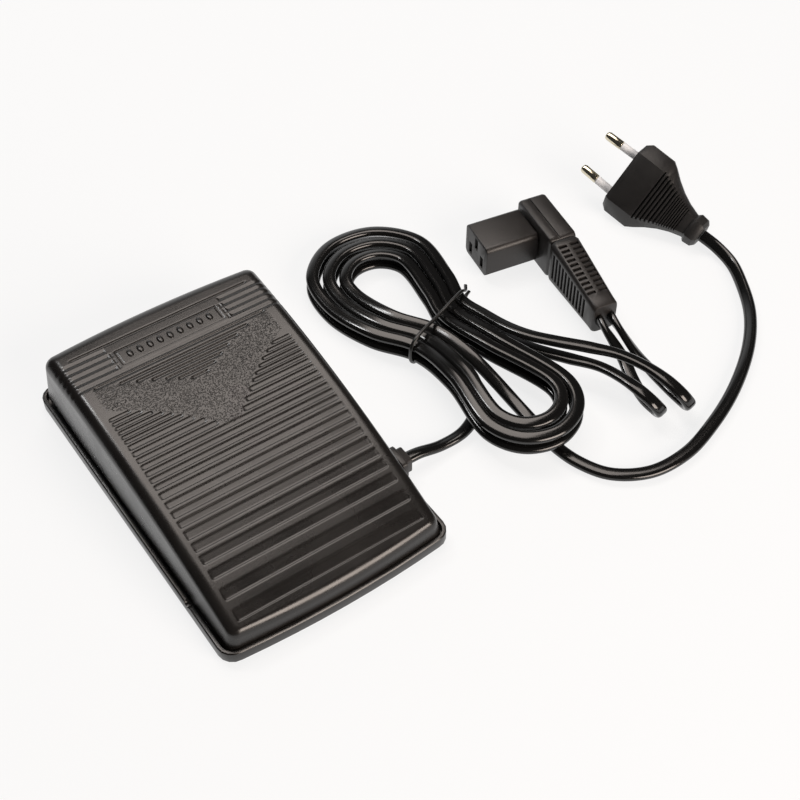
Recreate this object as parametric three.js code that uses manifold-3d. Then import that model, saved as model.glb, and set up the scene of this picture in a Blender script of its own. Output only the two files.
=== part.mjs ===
// Sewing machine foot pedal with its flat cords, machine connector and two-pin mains plug.
// Millimetres. X across the pedal, Y towards the toe end, Z up from the floor.
import * as THREE from "three";
import { mergeVertices } from "three/addons/utils/BufferGeometryUtils.js";
import Module from "manifold-3d";

const kernel = await Module();
kernel.setup();

// Fits
const seatGap = 0.3; // between pieces that rest against each other
const runningGap = 0.05; // on the radius of a round piece that turns
const slidingGap = 0.2; // each side of the plunger

// Base tray
const trayHalfWidth = 46.7;
const trayHalfLength = 73.1; // to the corners, the ends bow out from there
const trayBow = 1.9;
const trayCorner = 6;
const trayBevel = 0.4;
const trayBottom = 0.8;
const trayFloor = 2.6;
const rimTop = 5.9;
const rimWall = 1.4;
const rimInner = trayHalfWidth - rimWall;

// Treadle cover
const coverWall = 2.2;
const topWall = 2.3;
const skirtHalfWidth = 44.4;

// Hinge
const hingeY = -46;
const hingeZ = 6.6;
const rodRadius = 2;
const saddleX = 30;
const saddleThick = 3.5;
const lugX = 35;
const lugThick = 4.4;
const rodProud = 1.4; // how far the rod stands out of each lug
const rodHalfLength = lugX + lugThick + rodProud;

// Return springs
const springX = 24;
const springY = 34;
const springFoot = 3.2;
const springHead = 31;
const springRadius = 4.3;
const springWire = 0.9;
const springTurns = 9;

// Control board and its pieces
const boardHalfX = 30;
const boardHalfY = 24;
const boardUnder = 7.2;
const boardTop = 8.8;
const postX = 26;
const postY = 20;
const pusherY = 10;
const plungerTop = 20;
const pusherUnder = 21.5;
const plungerHalf = 2.6;

// Cords: flat two-core leads, drawn round with the same cross-section area
const cordDiameter = 4.2;
const cordLie = 2.75; // centre height of a cord on the floor
const glandY = -36;
const glandZ = 6;
const glandSeat = trayHalfWidth + seatGap;
const glandEnd = glandSeat + 5.2;
const glandLip = rimInner - 0.4; // the lip clips behind the rim
const glandTail = glandLip - 2.4;

// Hank of both cords, three loops of each
const hankPitch = 5.7; // height from the lower cord's loops to the upper cord's
const hankTurns = 2.45; // turns between the two outlines below
const waistRise = 1.8;
const footRise = 5.6;

// Machine connector, seated on the floor
const connectorX = 163.1;
const connectorY = 33.4;
const connectorTurn = THREE.MathUtils.degToRad(170);

// Two-pin plug, lying on the bevel of its side
const plugSeat = new THREE.Vector3(216.9, 33.6, 17.2);
const plugYaw = THREE.MathUtils.degToRad(104);
const plugPitch = THREE.MathUtils.degToRad(14.2);
const plugRoll = THREE.MathUtils.degToRad(50.5);
const pinRadius = 2;
const pinLength = 17.5;
const pinBase = 9.3; // half the pin spacing at the face
const pinTip = 8.75; // half the pin spacing at the tips

const paint = (color, roughness, metalness = 0) =>
  new THREE.MeshStandardMaterial({ color, roughness, metalness });
const coverPlastic = paint(0x2b2826, 0.35);
const basePlastic = paint(0x242220, 0.38);
const rubber = paint(0x1b1b1b, 0.85);
const cordPvc = paint(0x161616, 0.32);
const mouldedPvc = paint(0x262423, 0.5);
const plugPvc = paint(0x1e1d1d, 0.55);
const steel = paint(0xb9bcc0, 0.3, 1);
const zincSteel = paint(0xa7a9a6, 0.42, 1);
const brassPlate = paint(0xc9a66b, 0.25, 1);
const nickel = paint(0xd3cdbf, 0.22, 1);
const sleevePlastic = paint(0xd8dade, 0.45);
const boardGreen = paint(0x2f6b3d, 0.45);
const aluminium = paint(0xc4c7cb, 0.4, 1);
const epoxyBlack = paint(0x18181a, 0.5);
const filmYellow = paint(0xd9b33a, 0.4);
const ferriteGrey = paint(0x3b3e42, 0.6);
const resistorBlue = paint(0x5fa0c0, 0.4);
const terminalGreen = paint(0x3d8a4d, 0.45);
const whiteNylon = paint(0xe4e2da, 0.5);
const leadBrown = paint(0x6a3f22, 0.4);
const leadBlue = paint(0x2f5fa8, 0.4);

// ---- making and joining solids ----

function weld(geometry) {
  const bare = geometry.clone();
  bare.deleteAttribute("normal");
  bare.deleteAttribute("uv");
  return mergeVertices(bare, 1e-4);
}

function toSolid(geometry) {
  const welded = weld(geometry);
  return new kernel.Manifold(
    new kernel.Mesh({
      numProp: 3,
      vertProperties: new Float32Array(welded.attributes.position.array),
      triVerts: new Uint32Array(welded.index.array),
    }),
  );
}

function toGeometry(solid) {
  const mesh = solid.getMesh();
  const geometry = new THREE.BufferGeometry();
  geometry.setAttribute("position", new THREE.BufferAttribute(new Float32Array(mesh.vertProperties), 3));
  geometry.setIndex(new THREE.BufferAttribute(new Uint32Array(mesh.triVerts), 1));
  return geometry;
}

function join(base, added, removed = []) {
  let solid = toSolid(base);
  for (const geometry of added) solid = solid.add(toSolid(geometry));
  for (const geometry of removed) solid = solid.subtract(toSolid(geometry));
  return toGeometry(solid);
}

function box(x0, x1, y0, y1, z0, z1) {
  const geometry = new THREE.BoxGeometry(x1 - x0, y1 - y0, z1 - z0);
  return geometry.translate((x0 + x1) / 2, (y0 + y1) / 2, (z0 + z1) / 2);
}

function post(radius, x, y, z0, z1, sides = 16) {
  const geometry = new THREE.CylinderGeometry(radius, radius, z1 - z0, sides);
  return geometry.rotateX(Math.PI / 2).translate(x, y, (z0 + z1) / 2);
}

function barAlongX(radius, x0, x1, y, z, sides = 32) {
  const geometry = new THREE.CylinderGeometry(radius, radius, x1 - x0, sides);
  return geometry.rotateZ(Math.PI / 2).translate((x0 + x1) / 2, y, z);
}

// A screw standing on Z: pan head above headZ, shank below
function screw(x, y, headZ, headRadius, headHigh, shankRadius, shankLong) {
  const profile = [
    new THREE.Vector2(0, -shankLong),
    new THREE.Vector2(shankRadius, -shankLong),
    new THREE.Vector2(shankRadius, 0),
    new THREE.Vector2(headRadius, 0),
    new THREE.Vector2(headRadius, headHigh * 0.55),
    new THREE.Vector2(headRadius * 0.7, headHigh),
    new THREE.Vector2(0, headHigh),
  ];
  return new THREE.LatheGeometry(profile, 14).rotateX(Math.PI / 2).translate(x, y, headZ);
}

// Rounded rectangle in two axes with rounded edges, standing on z = 0
function slab(width, depth, high, corner, edge, steps = 4) {
  const shape = new THREE.Shape();
  const x = width / 2 - edge;
  const y = depth / 2 - edge;
  const r = Math.max(corner - edge, 0.01);
  shape.moveTo(-x + r, -y);
  shape.lineTo(x - r, -y);
  shape.absarc(x - r, -y + r, r, -Math.PI / 2, 0);
  shape.lineTo(x, y - r);
  shape.absarc(x - r, y - r, r, 0, Math.PI / 2);
  shape.lineTo(-x + r, y);
  shape.absarc(-x + r, y - r, r, Math.PI / 2, Math.PI);
  shape.lineTo(-x, -y + r);
  shape.absarc(-x + r, -y + r, r, Math.PI, Math.PI * 1.5);
  const geometry = new THREE.ExtrudeGeometry(shape, {
    depth: high - 2 * edge,
    bevelThickness: edge,
    bevelSize: edge,
    bevelSegments: 2,
    curveSegments: steps,
  });
  return geometry.translate(0, 0, edge);
}

// Closed body through rings with the same number of points, both ends capped
function loft(rings, capRows) {
  const count = rings[0].length;
  const positions = rings.flat().flatMap((point) => [point.x, point.y, point.z]);
  const faces = [];
  for (let row = 0; row + 1 < rings.length; row += 1) {
    for (let i = 0; i < count; i += 1) {
      const a = row * count + i;
      const b = row * count + ((i + 1) % count);
      faces.push(a, b, b + count, a, b + count, a + count);
    }
  }
  const last = (rings.length - 1) * count;
  for (const [a, b, c] of capRows(count)) {
    faces.push(a, c, b);
    faces.push(last + a, last + b, last + c);
  }
  const geometry = new THREE.BufferGeometry();
  geometry.setAttribute("position", new THREE.BufferAttribute(new Float32Array(positions), 3));
  geometry.setIndex(faces);
  return geometry;
}

// Cap of a ring that mirrors left to right: rungs from side to side
function ladder(count) {
  const half = count / 2;
  const faces = [[0, 1, count - 1]];
  for (let i = 1; i + 1 < half; i += 1) {
    faces.push([i, i + 1, count - i - 1], [i, count - i - 1, count - i]);
  }
  faces.push([half - 1, half, half + 1]);
  return faces;
}

function fan(count) {
  const faces = [];
  for (let i = 1; i + 1 < count; i += 1) faces.push([0, i, i + 1]);
  return faces;
}

// Ring of a plan outline, counter-clockwise from the middle of the heel end
function ring(plan, height) {
  const { heelX, toeX, heelY, toeY, bow, corner } = plan;
  const right = [];
  for (let i = 0; i <= 4; i += 1) {
    const x = ((heelX - corner) * i) / 4;
    right.push([x, heelY - bow * (1 - (i / 4) ** 2)]);
  }
  for (let i = 1; i <= 4; i += 1) {
    const angle = (-90 + i * 22.5) * (Math.PI / 180);
    right.push([heelX - corner + corner * Math.cos(angle), heelY + corner + corner * Math.sin(angle)]);
  }
  for (let i = 1; i <= 10; i += 1) {
    const t = i / 10;
    right.push([heelX + (toeX - heelX) * t, heelY + corner + (toeY - heelY - 2 * corner) * t]);
  }
  for (let i = 1; i <= 4; i += 1) {
    const angle = i * 22.5 * (Math.PI / 180);
    right.push([toeX - corner + corner * Math.cos(angle), toeY - corner + corner * Math.sin(angle)]);
  }
  for (let i = 1; i <= 4; i += 1) {
    const x = (toeX - corner) * (1 - i / 4);
    right.push([x, toeY + bow * (1 - (1 - i / 4) ** 2)]);
  }
  const left = right.slice(1, -1).reverse().map(([x, y]) => [-x, y]);
  return [...right, ...left].map(([x, y]) => new THREE.Vector3(x, y, height(y)));
}

function blend(from, to, t) {
  const mixed = {};
  for (const key of Object.keys(from)) mixed[key] = from[key] + (to[key] - from[key]) * t;
  return mixed;
}

function shrink(plan, by) {
  return {
    ...plan,
    heelX: plan.heelX - by,
    toeX: plan.toeX - by,
    heelY: plan.heelY + by,
    toeY: plan.toeY - by,
    corner: Math.max(plan.corner - by, 1),
  };
}

// ---- base tray ----

const trayPlan = {
  heelX: trayHalfWidth,
  toeX: trayHalfWidth,
  heelY: -trayHalfLength,
  toeY: trayHalfLength,
  bow: trayBow,
  corner: trayCorner,
};
const footSpots = [[-35, -57], [35, -57], [-35, 57], [35, 57]];
const footRadius = 6;
const footDeep = 0.9;
const boardPosts = [[-postX, -postY], [postX, -postY], [-postX, postY], [postX, postY]];
const clampX = 26.5;
const clampPosts = [[clampX, glandY - 5.2], [clampX, glandY + 5.2]];
const clampPostTop = 8.3;
const clampTop = 10.8;
const weightSpots = [[-12, 46.5], [12, 46.5]];
const hookX = 16;

function makeTray() {
  const outer = loft(
    [
      ring(shrink(trayPlan, trayBevel), () => trayBottom),
      ring(trayPlan, () => trayBottom + trayBevel),
      ring(trayPlan, () => rimTop - trayBevel),
      ring(shrink(trayPlan, trayBevel), () => rimTop),
    ],
    ladder,
  );
  const inner = loft(
    [
      ring(shrink(trayPlan, rimWall + 0.4), () => trayFloor),
      ring(shrink(trayPlan, rimWall), () => rimTop + 1),
    ],
    ladder,
  );
  const shell = toGeometry(toSolid(outer).subtract(toSolid(inner)));
  const added = [];
  const removed = [];
  for (const side of [-1, 1]) {
    const x0 = side > 0 ? lugX : -lugX - lugThick;
    added.push(box(x0, x0 + lugThick, hingeY - 3.6, hingeY + 3.4, trayFloor - 0.5, hingeZ + 3.4));
    added.push(box(side * hookX - 3, side * hookX + 3, 61.6, 63.6, trayFloor - 0.5, 14.5));
    added.push(box(side * hookX - 3, side * hookX + 3, 58.8, 62, 12.5, 14.5));
    added.push(post(3, side * springX, springY, trayFloor - 0.5, springFoot + 2));
  }
  for (const [x, y] of boardPosts) {
    added.push(post(2.8, x, y, trayFloor - 0.5, boardUnder - seatGap));
    removed.push(post(1.3, x, y, trayFloor, boardUnder));
  }
  for (const [x, y] of clampPosts) {
    added.push(post(2.4, x, y, trayFloor - 0.5, clampPostTop));
    removed.push(post(1.3, x, y, trayFloor, clampPostTop + 1));
  }
  const cordRest = glandZ - cordDiameter / 2 - seatGap;
  added.push(box(clampX - 2, clampX + 2, glandY - 2, glandY + 2, trayFloor - 0.5, cordRest));
  for (const [x, y] of weightSpots) {
    removed.push(post(1.3, x, y, trayFloor - 1, trayFloor + 1));
  }
  for (const [x, y] of footSpots) {
    removed.push(post(footRadius + seatGap, x, y, trayBottom - 1, trayBottom + footDeep, 28));
  }
  removed.push(barAlongX(rodRadius + runningGap, -60, 60, hingeY, hingeZ));
  removed.push(box(trayHalfWidth - 3, trayHalfWidth + 2, glandY - 3.6, glandY + 3.6, trayFloor, rimTop + 1));
  return join(shell, added, removed);
}

// ---- treadle cover ----

// Height of the tread along the pedal: a shallow arch, measured from the photograph
const treadHeight = (y) => 30.8 + 0.1555 * y - 0.00129 * y * y;
const edgeDrop = (y) => 4.6 + 0.02 * y;
const skirtHeight = (y) => 4.6 + (y - hingeY) * 0.014;

const skirtPlan = {
  heelX: skirtHalfWidth,
  toeX: skirtHalfWidth,
  heelY: -71.4,
  toeY: 70.4,
  bow: 1.9,
  corner: 4.4,
};
const crestPlan = { heelX: 42.9, toeX: 45, heelY: -71.1, toeY: 61.6, bow: 1.9, corner: 4 };
const treadPlan = { heelX: 38.9, toeX: 40.2, heelY: -69.2, toeY: 55.8, bow: 1.2, corner: 3 };

const panel = { halfX: 21.4, heelY: 41.4, toeY: 48.2 };
const longGroove = { halfX: 37.2, y: 52.1 };

// Sunk bars across the tread, from the heel: how many, their pitch, the width of one
const barGroups = [
  { count: 2, pitch: 8, wide: 4.1 },
  { count: 1, pitch: 6, wide: 3.4 },
  { count: 3, pitch: 5.05, wide: 3.35 },
  { count: 4, pitch: 4.13, wide: 2.6 },
  { count: 7, pitch: 3.11, wide: 1.97 },
  { count: 6, pitch: 2.24, wide: 1.33 },
];
const firstBar = -67.3;
const barHalfLength = 37.6;
const barDeep = 0.3;

function barRows() {
  const rows = [];
  let y = firstBar;
  for (const { count, pitch, wide } of barGroups) {
    for (let i = 0; i < count; i += 1) {
      rows.push({ y: y + wide / 2, wide });
      y += pitch;
    }
  }
  return rows;
}

function treadSlot(y, wide, x0, x1, deep) {
  const slope = Math.atan(0.1555 - 0.00258 * y);
  const cutter = new THREE.BoxGeometry(x1 - x0, wide, deep * 2);
  return cutter.rotateX(slope).translate((x0 + x1) / 2, y, treadHeight(y));
}

function makeCover() {
  const turns = [90, 62, 36, 14, 0].map((angle) => angle * (Math.PI / 180));
  const outer = loft(
    [
      ring(skirtPlan, skirtHeight),
      ...turns.map((angle) =>
        ring(
          blend(treadPlan, crestPlan, Math.sin(angle)),
          (y) => treadHeight(y) - edgeDrop(y) * (1 - Math.cos(angle)),
        ),
      ),
    ],
    ladder,
  );
  const inner = loft(
    [
      ring(shrink(skirtPlan, coverWall - 0.1), (y) => skirtHeight(y) - 2),
      ring(shrink(crestPlan, coverWall), (y) => treadHeight(y) - edgeDrop(y) - 0.6),
      ring(shrink(blend(treadPlan, crestPlan, 0.55), coverWall), (y) => treadHeight(y) - topWall - 0.4),
      ring(shrink(treadPlan, coverWall), (y) => treadHeight(y) - topWall),
    ],
    ladder,
  );
  const shell = toGeometry(toSolid(outer).subtract(toSolid(inner)));
  const added = [];
  const removed = [];
  for (const side of [-1, 1]) {
    const x0 = side > 0 ? saddleX : -saddleX - saddleThick;
    const saddleTop = treadHeight(hingeY) - 1.6;
    added.push(box(x0, x0 + saddleThick, hingeY - 4.6, hingeY + 4.6, hingeZ - 3.3, saddleTop));
    added.push(post(6.8, side * springX, springY, 27, treadHeight(springY) - 1.2, 28));
    removed.push(post(5.5, side * springX, springY, 26, springHead + seatGap, 28));
    added.push(post(3.2, side * 10, pusherY, 24, treadHeight(pusherY) - 1.2));
    removed.push(post(1.25, side * 10, pusherY, 23, 29));
    added.push(box(side * hookX - 3.4, side * hookX + 3.4, 54.6, 56.4, 9.8, treadHeight(55) - 1.2));
    added.push(box(side * hookX - 3.4, side * hookX + 3.4, 56, 61.2, 9.8, 12.5 - seatGap));
  }
  removed.push(barAlongX(rodRadius + runningGap, -35, 35, hingeY, hingeZ));
  removed.push(box(38, 50, glandY - 5.4, glandY + 5.4, 0, glandZ + 4.5));
  for (const { y, wide } of barRows()) {
    removed.push(treadSlot(y, wide, -barHalfLength, barHalfLength, barDeep));
  }
  removed.push(treadSlot(longGroove.y, 1, -longGroove.halfX, longGroove.halfX, 0.45));
  removed.push(
    treadSlot((panel.heelY + panel.toeY) / 2, panel.toeY - panel.heelY, -panel.halfX, panel.halfX, 0.6),
  );
  return join(shell, added, removed);
}

// ---- springs ----

class Helix extends THREE.Curve {
  constructor(x, y, bottom, top) {
    super();
    Object.assign(this, { x, y, bottom, top });
  }

  getPoint(t, target = new THREE.Vector3()) {
    const angle = t * springTurns * Math.PI * 2;
    return target.set(
      this.x + springRadius * Math.cos(angle),
      this.y + springRadius * Math.sin(angle),
      this.bottom + (this.top - this.bottom) * t,
    );
  }
}

function sides(count, radius) {
  const shape = new THREE.Shape();
  for (let i = 0; i < count; i += 1) {
    const angle = ((i + 0.5) / count) * Math.PI * 2;
    const x = radius * Math.cos(angle);
    const y = radius * Math.sin(angle);
    if (i === 0) shape.moveTo(x, y);
    else shape.lineTo(x, y);
  }
  shape.closePath();
  return shape;
}

function tube(path, radius, sideCount, steps) {
  const options = { steps, extrudePath: path, bevelEnabled: false };
  return new THREE.ExtrudeGeometry(sides(sideCount, radius), options);
}

function makeSpring(side) {
  const path = new Helix(side * springX, springY, springFoot + springWire / 2, springHead - springWire / 2);
  return tube(path, springWire / 2, 5, springTurns * 8);
}

// ---- cord routes ----

const smooth = (t) => {
  const x = Math.min(Math.max(t, 0), 1);
  return x * x * (3 - 2 * x);
};

// Outlines of the innermost and outermost loop, clockwise from the left of the waist
function arcPoints(x, y, radius, angles) {
  return angles.map((angle) => {
    const turn = THREE.MathUtils.degToRad(angle);
    return [x + radius * Math.cos(turn), y + radius * Math.sin(turn)];
  });
}
const farAngles = [190, 147, 104, 61, 18];
const nearAngles = [-8, -49, -90, -131, -172];
const innerLoop = [
  [97.2, 10.6],
  [89, 25],
  ...arcPoints(97, 48, 12.4, farAngles),
  [105.5, 28],
  [102.2, 12.4],
  [105, -10],
  ...arcPoints(104, -40, 9.7, nearAngles),
  [98, -14],
];
const outerLoop = [
  [84.2, 5.6],
  [74, 22],
  ...arcPoints(97, 50, 28.2, farAngles),
  [120.6, 33],
  [115.8, 17],
  [119.2, -10],
  ...arcPoints(103, -44.5, 22.6, nearAngles),
  [84.4, -18],
];

// The hank lies on the floor at its far end and climbs over the two cords that pass under it
function loopPoints(layer) {
  const count = innerLoop.length;
  const points = [];
  for (let step = 0; step < 2 * count + 10; step += 1) {
    const turn = step / count;
    const place = (count - 1 + step) % count;
    const [innerX, innerY] = innerLoop[place];
    const [outerX, outerY] = outerLoop[place];
    const x = innerX + ((outerX - innerX) * turn) / hankTurns;
    const y = innerY + ((outerY - innerY) * turn) / hankTurns;
    const over = layer === 0 ? smooth((turn - 0.05) / 0.4) : 1;
    const rise = waistRise * smooth((44 - y) / 22) + (footRise - waistRise) * smooth((6 - y) / 26) * over;
    points.push(new THREE.Vector3(x, y, cordLie + rise + hankPitch * layer));
  }
  return points;
}

const asVectors = (list) => list.map(([x, y, z]) => new THREE.Vector3(x, y, z));

// From the gland under the near side of the hank
const pedalStart = asVectors([
  [glandEnd + seatGap, glandY, glandZ],
  [57.5, glandY, 5.6],
  [68, -36.3, 3.2],
  [79, -35.4, cordLie],
  [88.5, -30.5, cordLie],
  [95.5, -22.5, cordLie],
]);
// From the waist out to the hairpin and back under itself to the connector
const pedalEnd = asVectors([
  [118.2, 4, 5.8],
  [120.2, -8, 7.2],
  [123.4, -18, 8.6],
  [127.2, -26, 9.6],
  [131.8, -34.2, 10.6],
  [137.5, -45.1, 12.2],
  [139.7, -56.4, 13.8],
  [140.4, -65, 14.4],
  [141.8, -71.4, 12.6],
  [144.1, -73.6, 8.6],
  [146.2, -70.6, 4.4],
  [147, -63, cordLie],
  [150, -51.5, cordLie],
  [153.6, -41.5, 4],
]);
const mainsStart = asVectors([
  [118.2, 4, 11.6],
  [120.4, -8, 13.2],
  [124, -18, 14.6],
  [130, -27, 15.4],
  [138.5, -37.2, 15.6],
  [145.7, -46.8, 15.6],
  [150.3, -59, 15.6],
  [151.9, -68.4, 15.2],
  [153.2, -75, 13.2],
  [155.3, -77.4, 9],
  [157.4, -74.4, 4.8],
  [158.4, -66, cordLie],
  [159.2, -54, cordLie],
  [159.6, -42.6, 4.2],
]).reverse();
// From inside the hank, under its near end and round to the plug
const mainsEnd = asVectors([
  [99.6, 0, 10.6],
  [101.2, -12, 9.6],
  [103, -24, 6.2],
  [104, -36, 3.4],
  [104, -48, cordLie],
  [103.5, -60.2, cordLie],
  [105.8, -72, cordLie],
  [112, -83, cordLie],
  [125, -90.8, cordLie],
  [142, -91.6, cordLie],
  [160.4, -86.4, cordLie],
  [180, -77.6, cordLie],
  [200.4, -64.2, cordLie],
  [214.4, -50.4, cordLie],
  [223.6, -35.8, cordLie],
  [228.4, -24.5, 3.2],
]);

// ---- machine connector ----

function atConnector(geometry) {
  return geometry.rotateZ(connectorTurn).translate(connectorX, connectorY, 0);
}

function connectorPoint(x, y, z) {
  const point = new THREE.Vector3(x, y, z).applyAxisAngle(new THREE.Vector3(0, 0, 1), connectorTurn);
  return point.add(new THREE.Vector3(connectorX, connectorY, 0));
}

const socket = { long: 24.3, halfWidth: 9.8, bottom: 2.2, top: 17.6 };
const housing = { thick: 12.9, y0: -10.7, y1: 18.7, high: 21.2 };
const relief = { y0: 19, y1: 56.8, x0: -6.4, x1: -5.2, z0: 10.6, z1: 9.5 };
const cordExitZ = 9.5;
const cordExitX = [-7.9, -2.5]; // mains cord, pedal cord
const contactSpots = [[-5, 7.4], [5, 7.4], [0, 13.2]];

function makeSocket() {
  const body = slab(2 * socket.halfWidth, socket.top - socket.bottom, socket.long, 2.4, 0.5);
  body.rotateX(Math.PI / 2).rotateZ(Math.PI / 2);
  body.translate(0, 0, (socket.top + socket.bottom) / 2);
  const slots = contactSpots.map(([y, z]) =>
    box(socket.long - 14, socket.long + 1, y - 1.3, y + 1.3, z - 2.9, z + 2.9),
  );
  const key = [1, -1].map((side) => {
    const cutter = new THREE.BoxGeometry(socket.long * 3, 5, 5).rotateX(Math.PI / 4);
    return cutter.translate(0, side * (socket.halfWidth + 0.8), socket.bottom - 0.8);
  });
  return atConnector(join(body, [], [...slots, ...key]));
}

function makeContacts() {
  return contactSpots.map(([y, z]) =>
    atConnector(box(socket.long - 13.7, socket.long - 2, y - 1, y + 1, z - 2.6, z + 2.6)),
  );
}

function makeHousing() {
  const wide = housing.y1 - housing.y0;
  const body = slab(wide, housing.high, housing.thick - seatGap, 2.6, 1.3, 4);
  body.rotateX(Math.PI / 2).rotateZ(Math.PI / 2);
  body.translate(-housing.thick, (housing.y0 + housing.y1) / 2, housing.high / 2);
  const seam = box(-5.2, -4.6, housing.y0 - 1, housing.y1 + 1, housing.high - 0.7, housing.high + 1);
  return atConnector(join(body, [], [seam]));
}

function roundedSection(halfX, halfZ, corner) {
  const points = [];
  for (const [signX, signZ, from] of [[1, -1, -90], [1, 1, 0], [-1, 1, 90], [-1, -1, 180]]) {
    for (let i = 0; i <= 3; i += 1) {
      const angle = THREE.MathUtils.degToRad(from + i * 30);
      const x = signX * (halfX - corner) + corner * Math.cos(angle);
      const z = signZ * (halfZ - corner) + corner * Math.sin(angle);
      points.push([x, z]);
    }
  }
  return points;
}

function makeRelief() {
  const { y0, y1, x0, x1, z0, z1 } = relief;
  const stations = [
    [0, 6, 10],
    [0.04, 6.4, 10.4],
    [0.9, 5.6, 7.2],
    [0.98, 5.6, 7],
    [1, 5.2, 6.6],
  ];
  const rings = stations.map(([t, halfX, halfZ]) =>
    roundedSection(halfX, halfZ, 2.2).map(
      ([x, z]) => new THREE.Vector3(x0 + (x1 - x0) * t - x, y0 + (y1 - y0) * t, z0 + (z1 - z0) * t + z),
    ),
  );
  const body = loft(rings, fan);
  const cuts = [];
  for (let i = 0; i < 11; i += 1) {
    const t = 0.09 + i * 0.068;
    const y = y0 + (y1 - y0) * t;
    const x = x0 + (x1 - x0) * t;
    const halfX = 6.4 - 0.9 * t;
    const halfZ = 10.4 - 3.5 * t;
    const z = z0 + (z1 - z0) * t;
    for (const side of [-1, 1]) {
      cuts.push(box(x + side * 2.7 - 1.9, x + side * 2.7 + 1.9, y, y + 1.5, z + halfZ - 1.2, z + halfZ + 2));
      const inner = x + side * (halfX - 1.1);
      const outer = x + side * (halfX + 2);
      const [low, high] = side > 0 ? [inner, outer] : [outer, inner];
      cuts.push(box(low, high, y, y + 1.5, z - halfZ * 0.66, z + halfZ * 0.66));
    }
  }
  return atConnector(join(body, [], cuts));
}

// ---- two-pin plug ----

const plugFrame = (() => {
  const cosPitch = Math.cos(plugPitch);
  const ahead = new THREE.Vector3(
    Math.cos(plugYaw) * cosPitch,
    Math.sin(plugYaw) * cosPitch,
    Math.sin(plugPitch),
  );
  const level = new THREE.Vector3(Math.sin(plugYaw), -Math.cos(plugYaw), 0);
  const raised = new THREE.Vector3().crossVectors(level, ahead);
  const across = level.multiplyScalar(Math.cos(plugRoll)).addScaledVector(raised, Math.sin(plugRoll));
  const up = new THREE.Vector3().crossVectors(across, ahead);
  return new THREE.Matrix4().makeBasis(across, ahead, up).setPosition(plugSeat);
})();

// Behind the face: half width at the middle, half width of the flat, half thickness
const plugStations = [
  [0, 15.6, 11.6, 5.6],
  [2.4, 17.5, 11.9, 6.1],
  [14, 17.5, 11.7, 6.1],
  [17, 15.6, 10.6, 6],
  [21, 12.6, 8.8, 5.7],
  [26, 9.6, 6.9, 5.2],
  [31, 7.4, 5.2, 4.7],
  [36, 5.9, 4, 4.2],
  [37.6, 5.7, 3.8, 4.1],
];
const collarStations = [
  [37, 6.2, 3.4, 4.6],
  [38, 7.1, 4, 5],
  [41.6, 6.7, 3.8, 4.8],
  [42.9, 5.2, 2.8, 3.8],
];
const plugCordSpot = 42.9;

function plugRing([back, halfMiddle, halfFlat, halfThick]) {
  const outline = [
    [halfMiddle, -1],
    [halfMiddle, 1],
    [halfFlat, halfThick],
    [0, halfThick],
    [-halfFlat, halfThick],
    [-halfMiddle, 1],
    [-halfMiddle, -1],
    [-halfFlat, -halfThick],
    [0, -halfThick],
    [halfFlat, -halfThick],
  ];
  return outline.map(([x, z]) => new THREE.Vector3(x, -back, z));
}

function makePlugBody() {
  const body = loft(plugStations.map(plugRing), fan);
  const collar = loft(collarStations.map(plugRing), fan);
  const cuts = [];
  for (const face of [-1, 1]) {
    for (let i = 0; i < 14; i += 1) {
      const wide = i < 6;
      const back = wide ? 14.6 + i * 1.75 : 25 + (i - 6) * 1.05;
      const thick = 6.15 - 0.0035 * back * back * (back > 14 ? 0.7 : 0);
      const reach = 12.4 - (back - 14) * 0.38;
      const deep = face * (thick - 0.75);
      const out = face * (thick + 2);
      const low = Math.min(deep, out);
      const high = Math.max(deep, out);
      cuts.push(box(-reach, reach, -back - (wide ? 0.85 : 0.5), -back, low, high));
    }
  }
  for (const side of [-1, 1]) {
    cuts.push(pinBar(side, -3, seatGap + 0.01, pinRadius + seatGap));
  }
  return join(body, [collar], cuts).applyMatrix4(plugFrame);
}

function pinBar(side, from, to, radius) {
  const lean = Math.atan((pinBase - pinTip) / pinLength);
  const bar = new THREE.CylinderGeometry(radius, radius, to - from, 20);
  bar.translate(0, (from + to) / 2, 0);
  return bar.rotateZ(side * lean).translate(side * pinBase, 0, 0);
}

function pinEnd(side, from, to) {
  const profile = [
    [0, from],
    [pinRadius, from],
    [pinRadius, to - 1.4],
    [pinRadius * 0.8, to - 0.4],
    [pinRadius * 0.45, to],
    [0, to],
  ].map(([x, y]) => new THREE.Vector2(x, y));
  const lean = Math.atan((pinBase - pinTip) / pinLength);
  return new THREE.LatheGeometry(profile, 20).rotateZ(side * lean).translate(side * pinBase, 0, 0);
}

const sleeveEnd = 8.6;
const makeSleeve = (side) => pinBar(side, -2.7, sleeveEnd, pinRadius - 0.1).applyMatrix4(plugFrame);
const makePin = (side) => pinEnd(side, sleeveEnd + seatGap, pinLength).applyMatrix4(plugFrame);

// ---- cords as tubes cut from two whole routes ----

class Stretch extends THREE.Curve {
  constructor(route, from, to) {
    super();
    Object.assign(this, { route, from, to });
  }

  getPoint(t, target = new THREE.Vector3()) {
    return this.route.getPointAt(this.from + (this.to - this.from) * t, target);
  }
}

function wholeRoute(points) {
  const route = new THREE.CatmullRomCurve3(points, false, "centripetal");
  route.arcLengthDivisions = (points.length - 1) * 24;
  const lengths = route.getLengths();
  const total = lengths[lengths.length - 1];
  const shareAt = (index) => lengths[index * 24] / total;
  return { route, total, shareAt };
}

const reliefEnd = relief.y1 + seatGap;
const plugSide = new THREE.Vector3(0, -plugCordSpot - seatGap, 0).applyMatrix4(plugFrame);
const plugBehind = new THREE.Vector3(0, -plugCordSpot - 8, 0).applyMatrix4(plugFrame);

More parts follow.
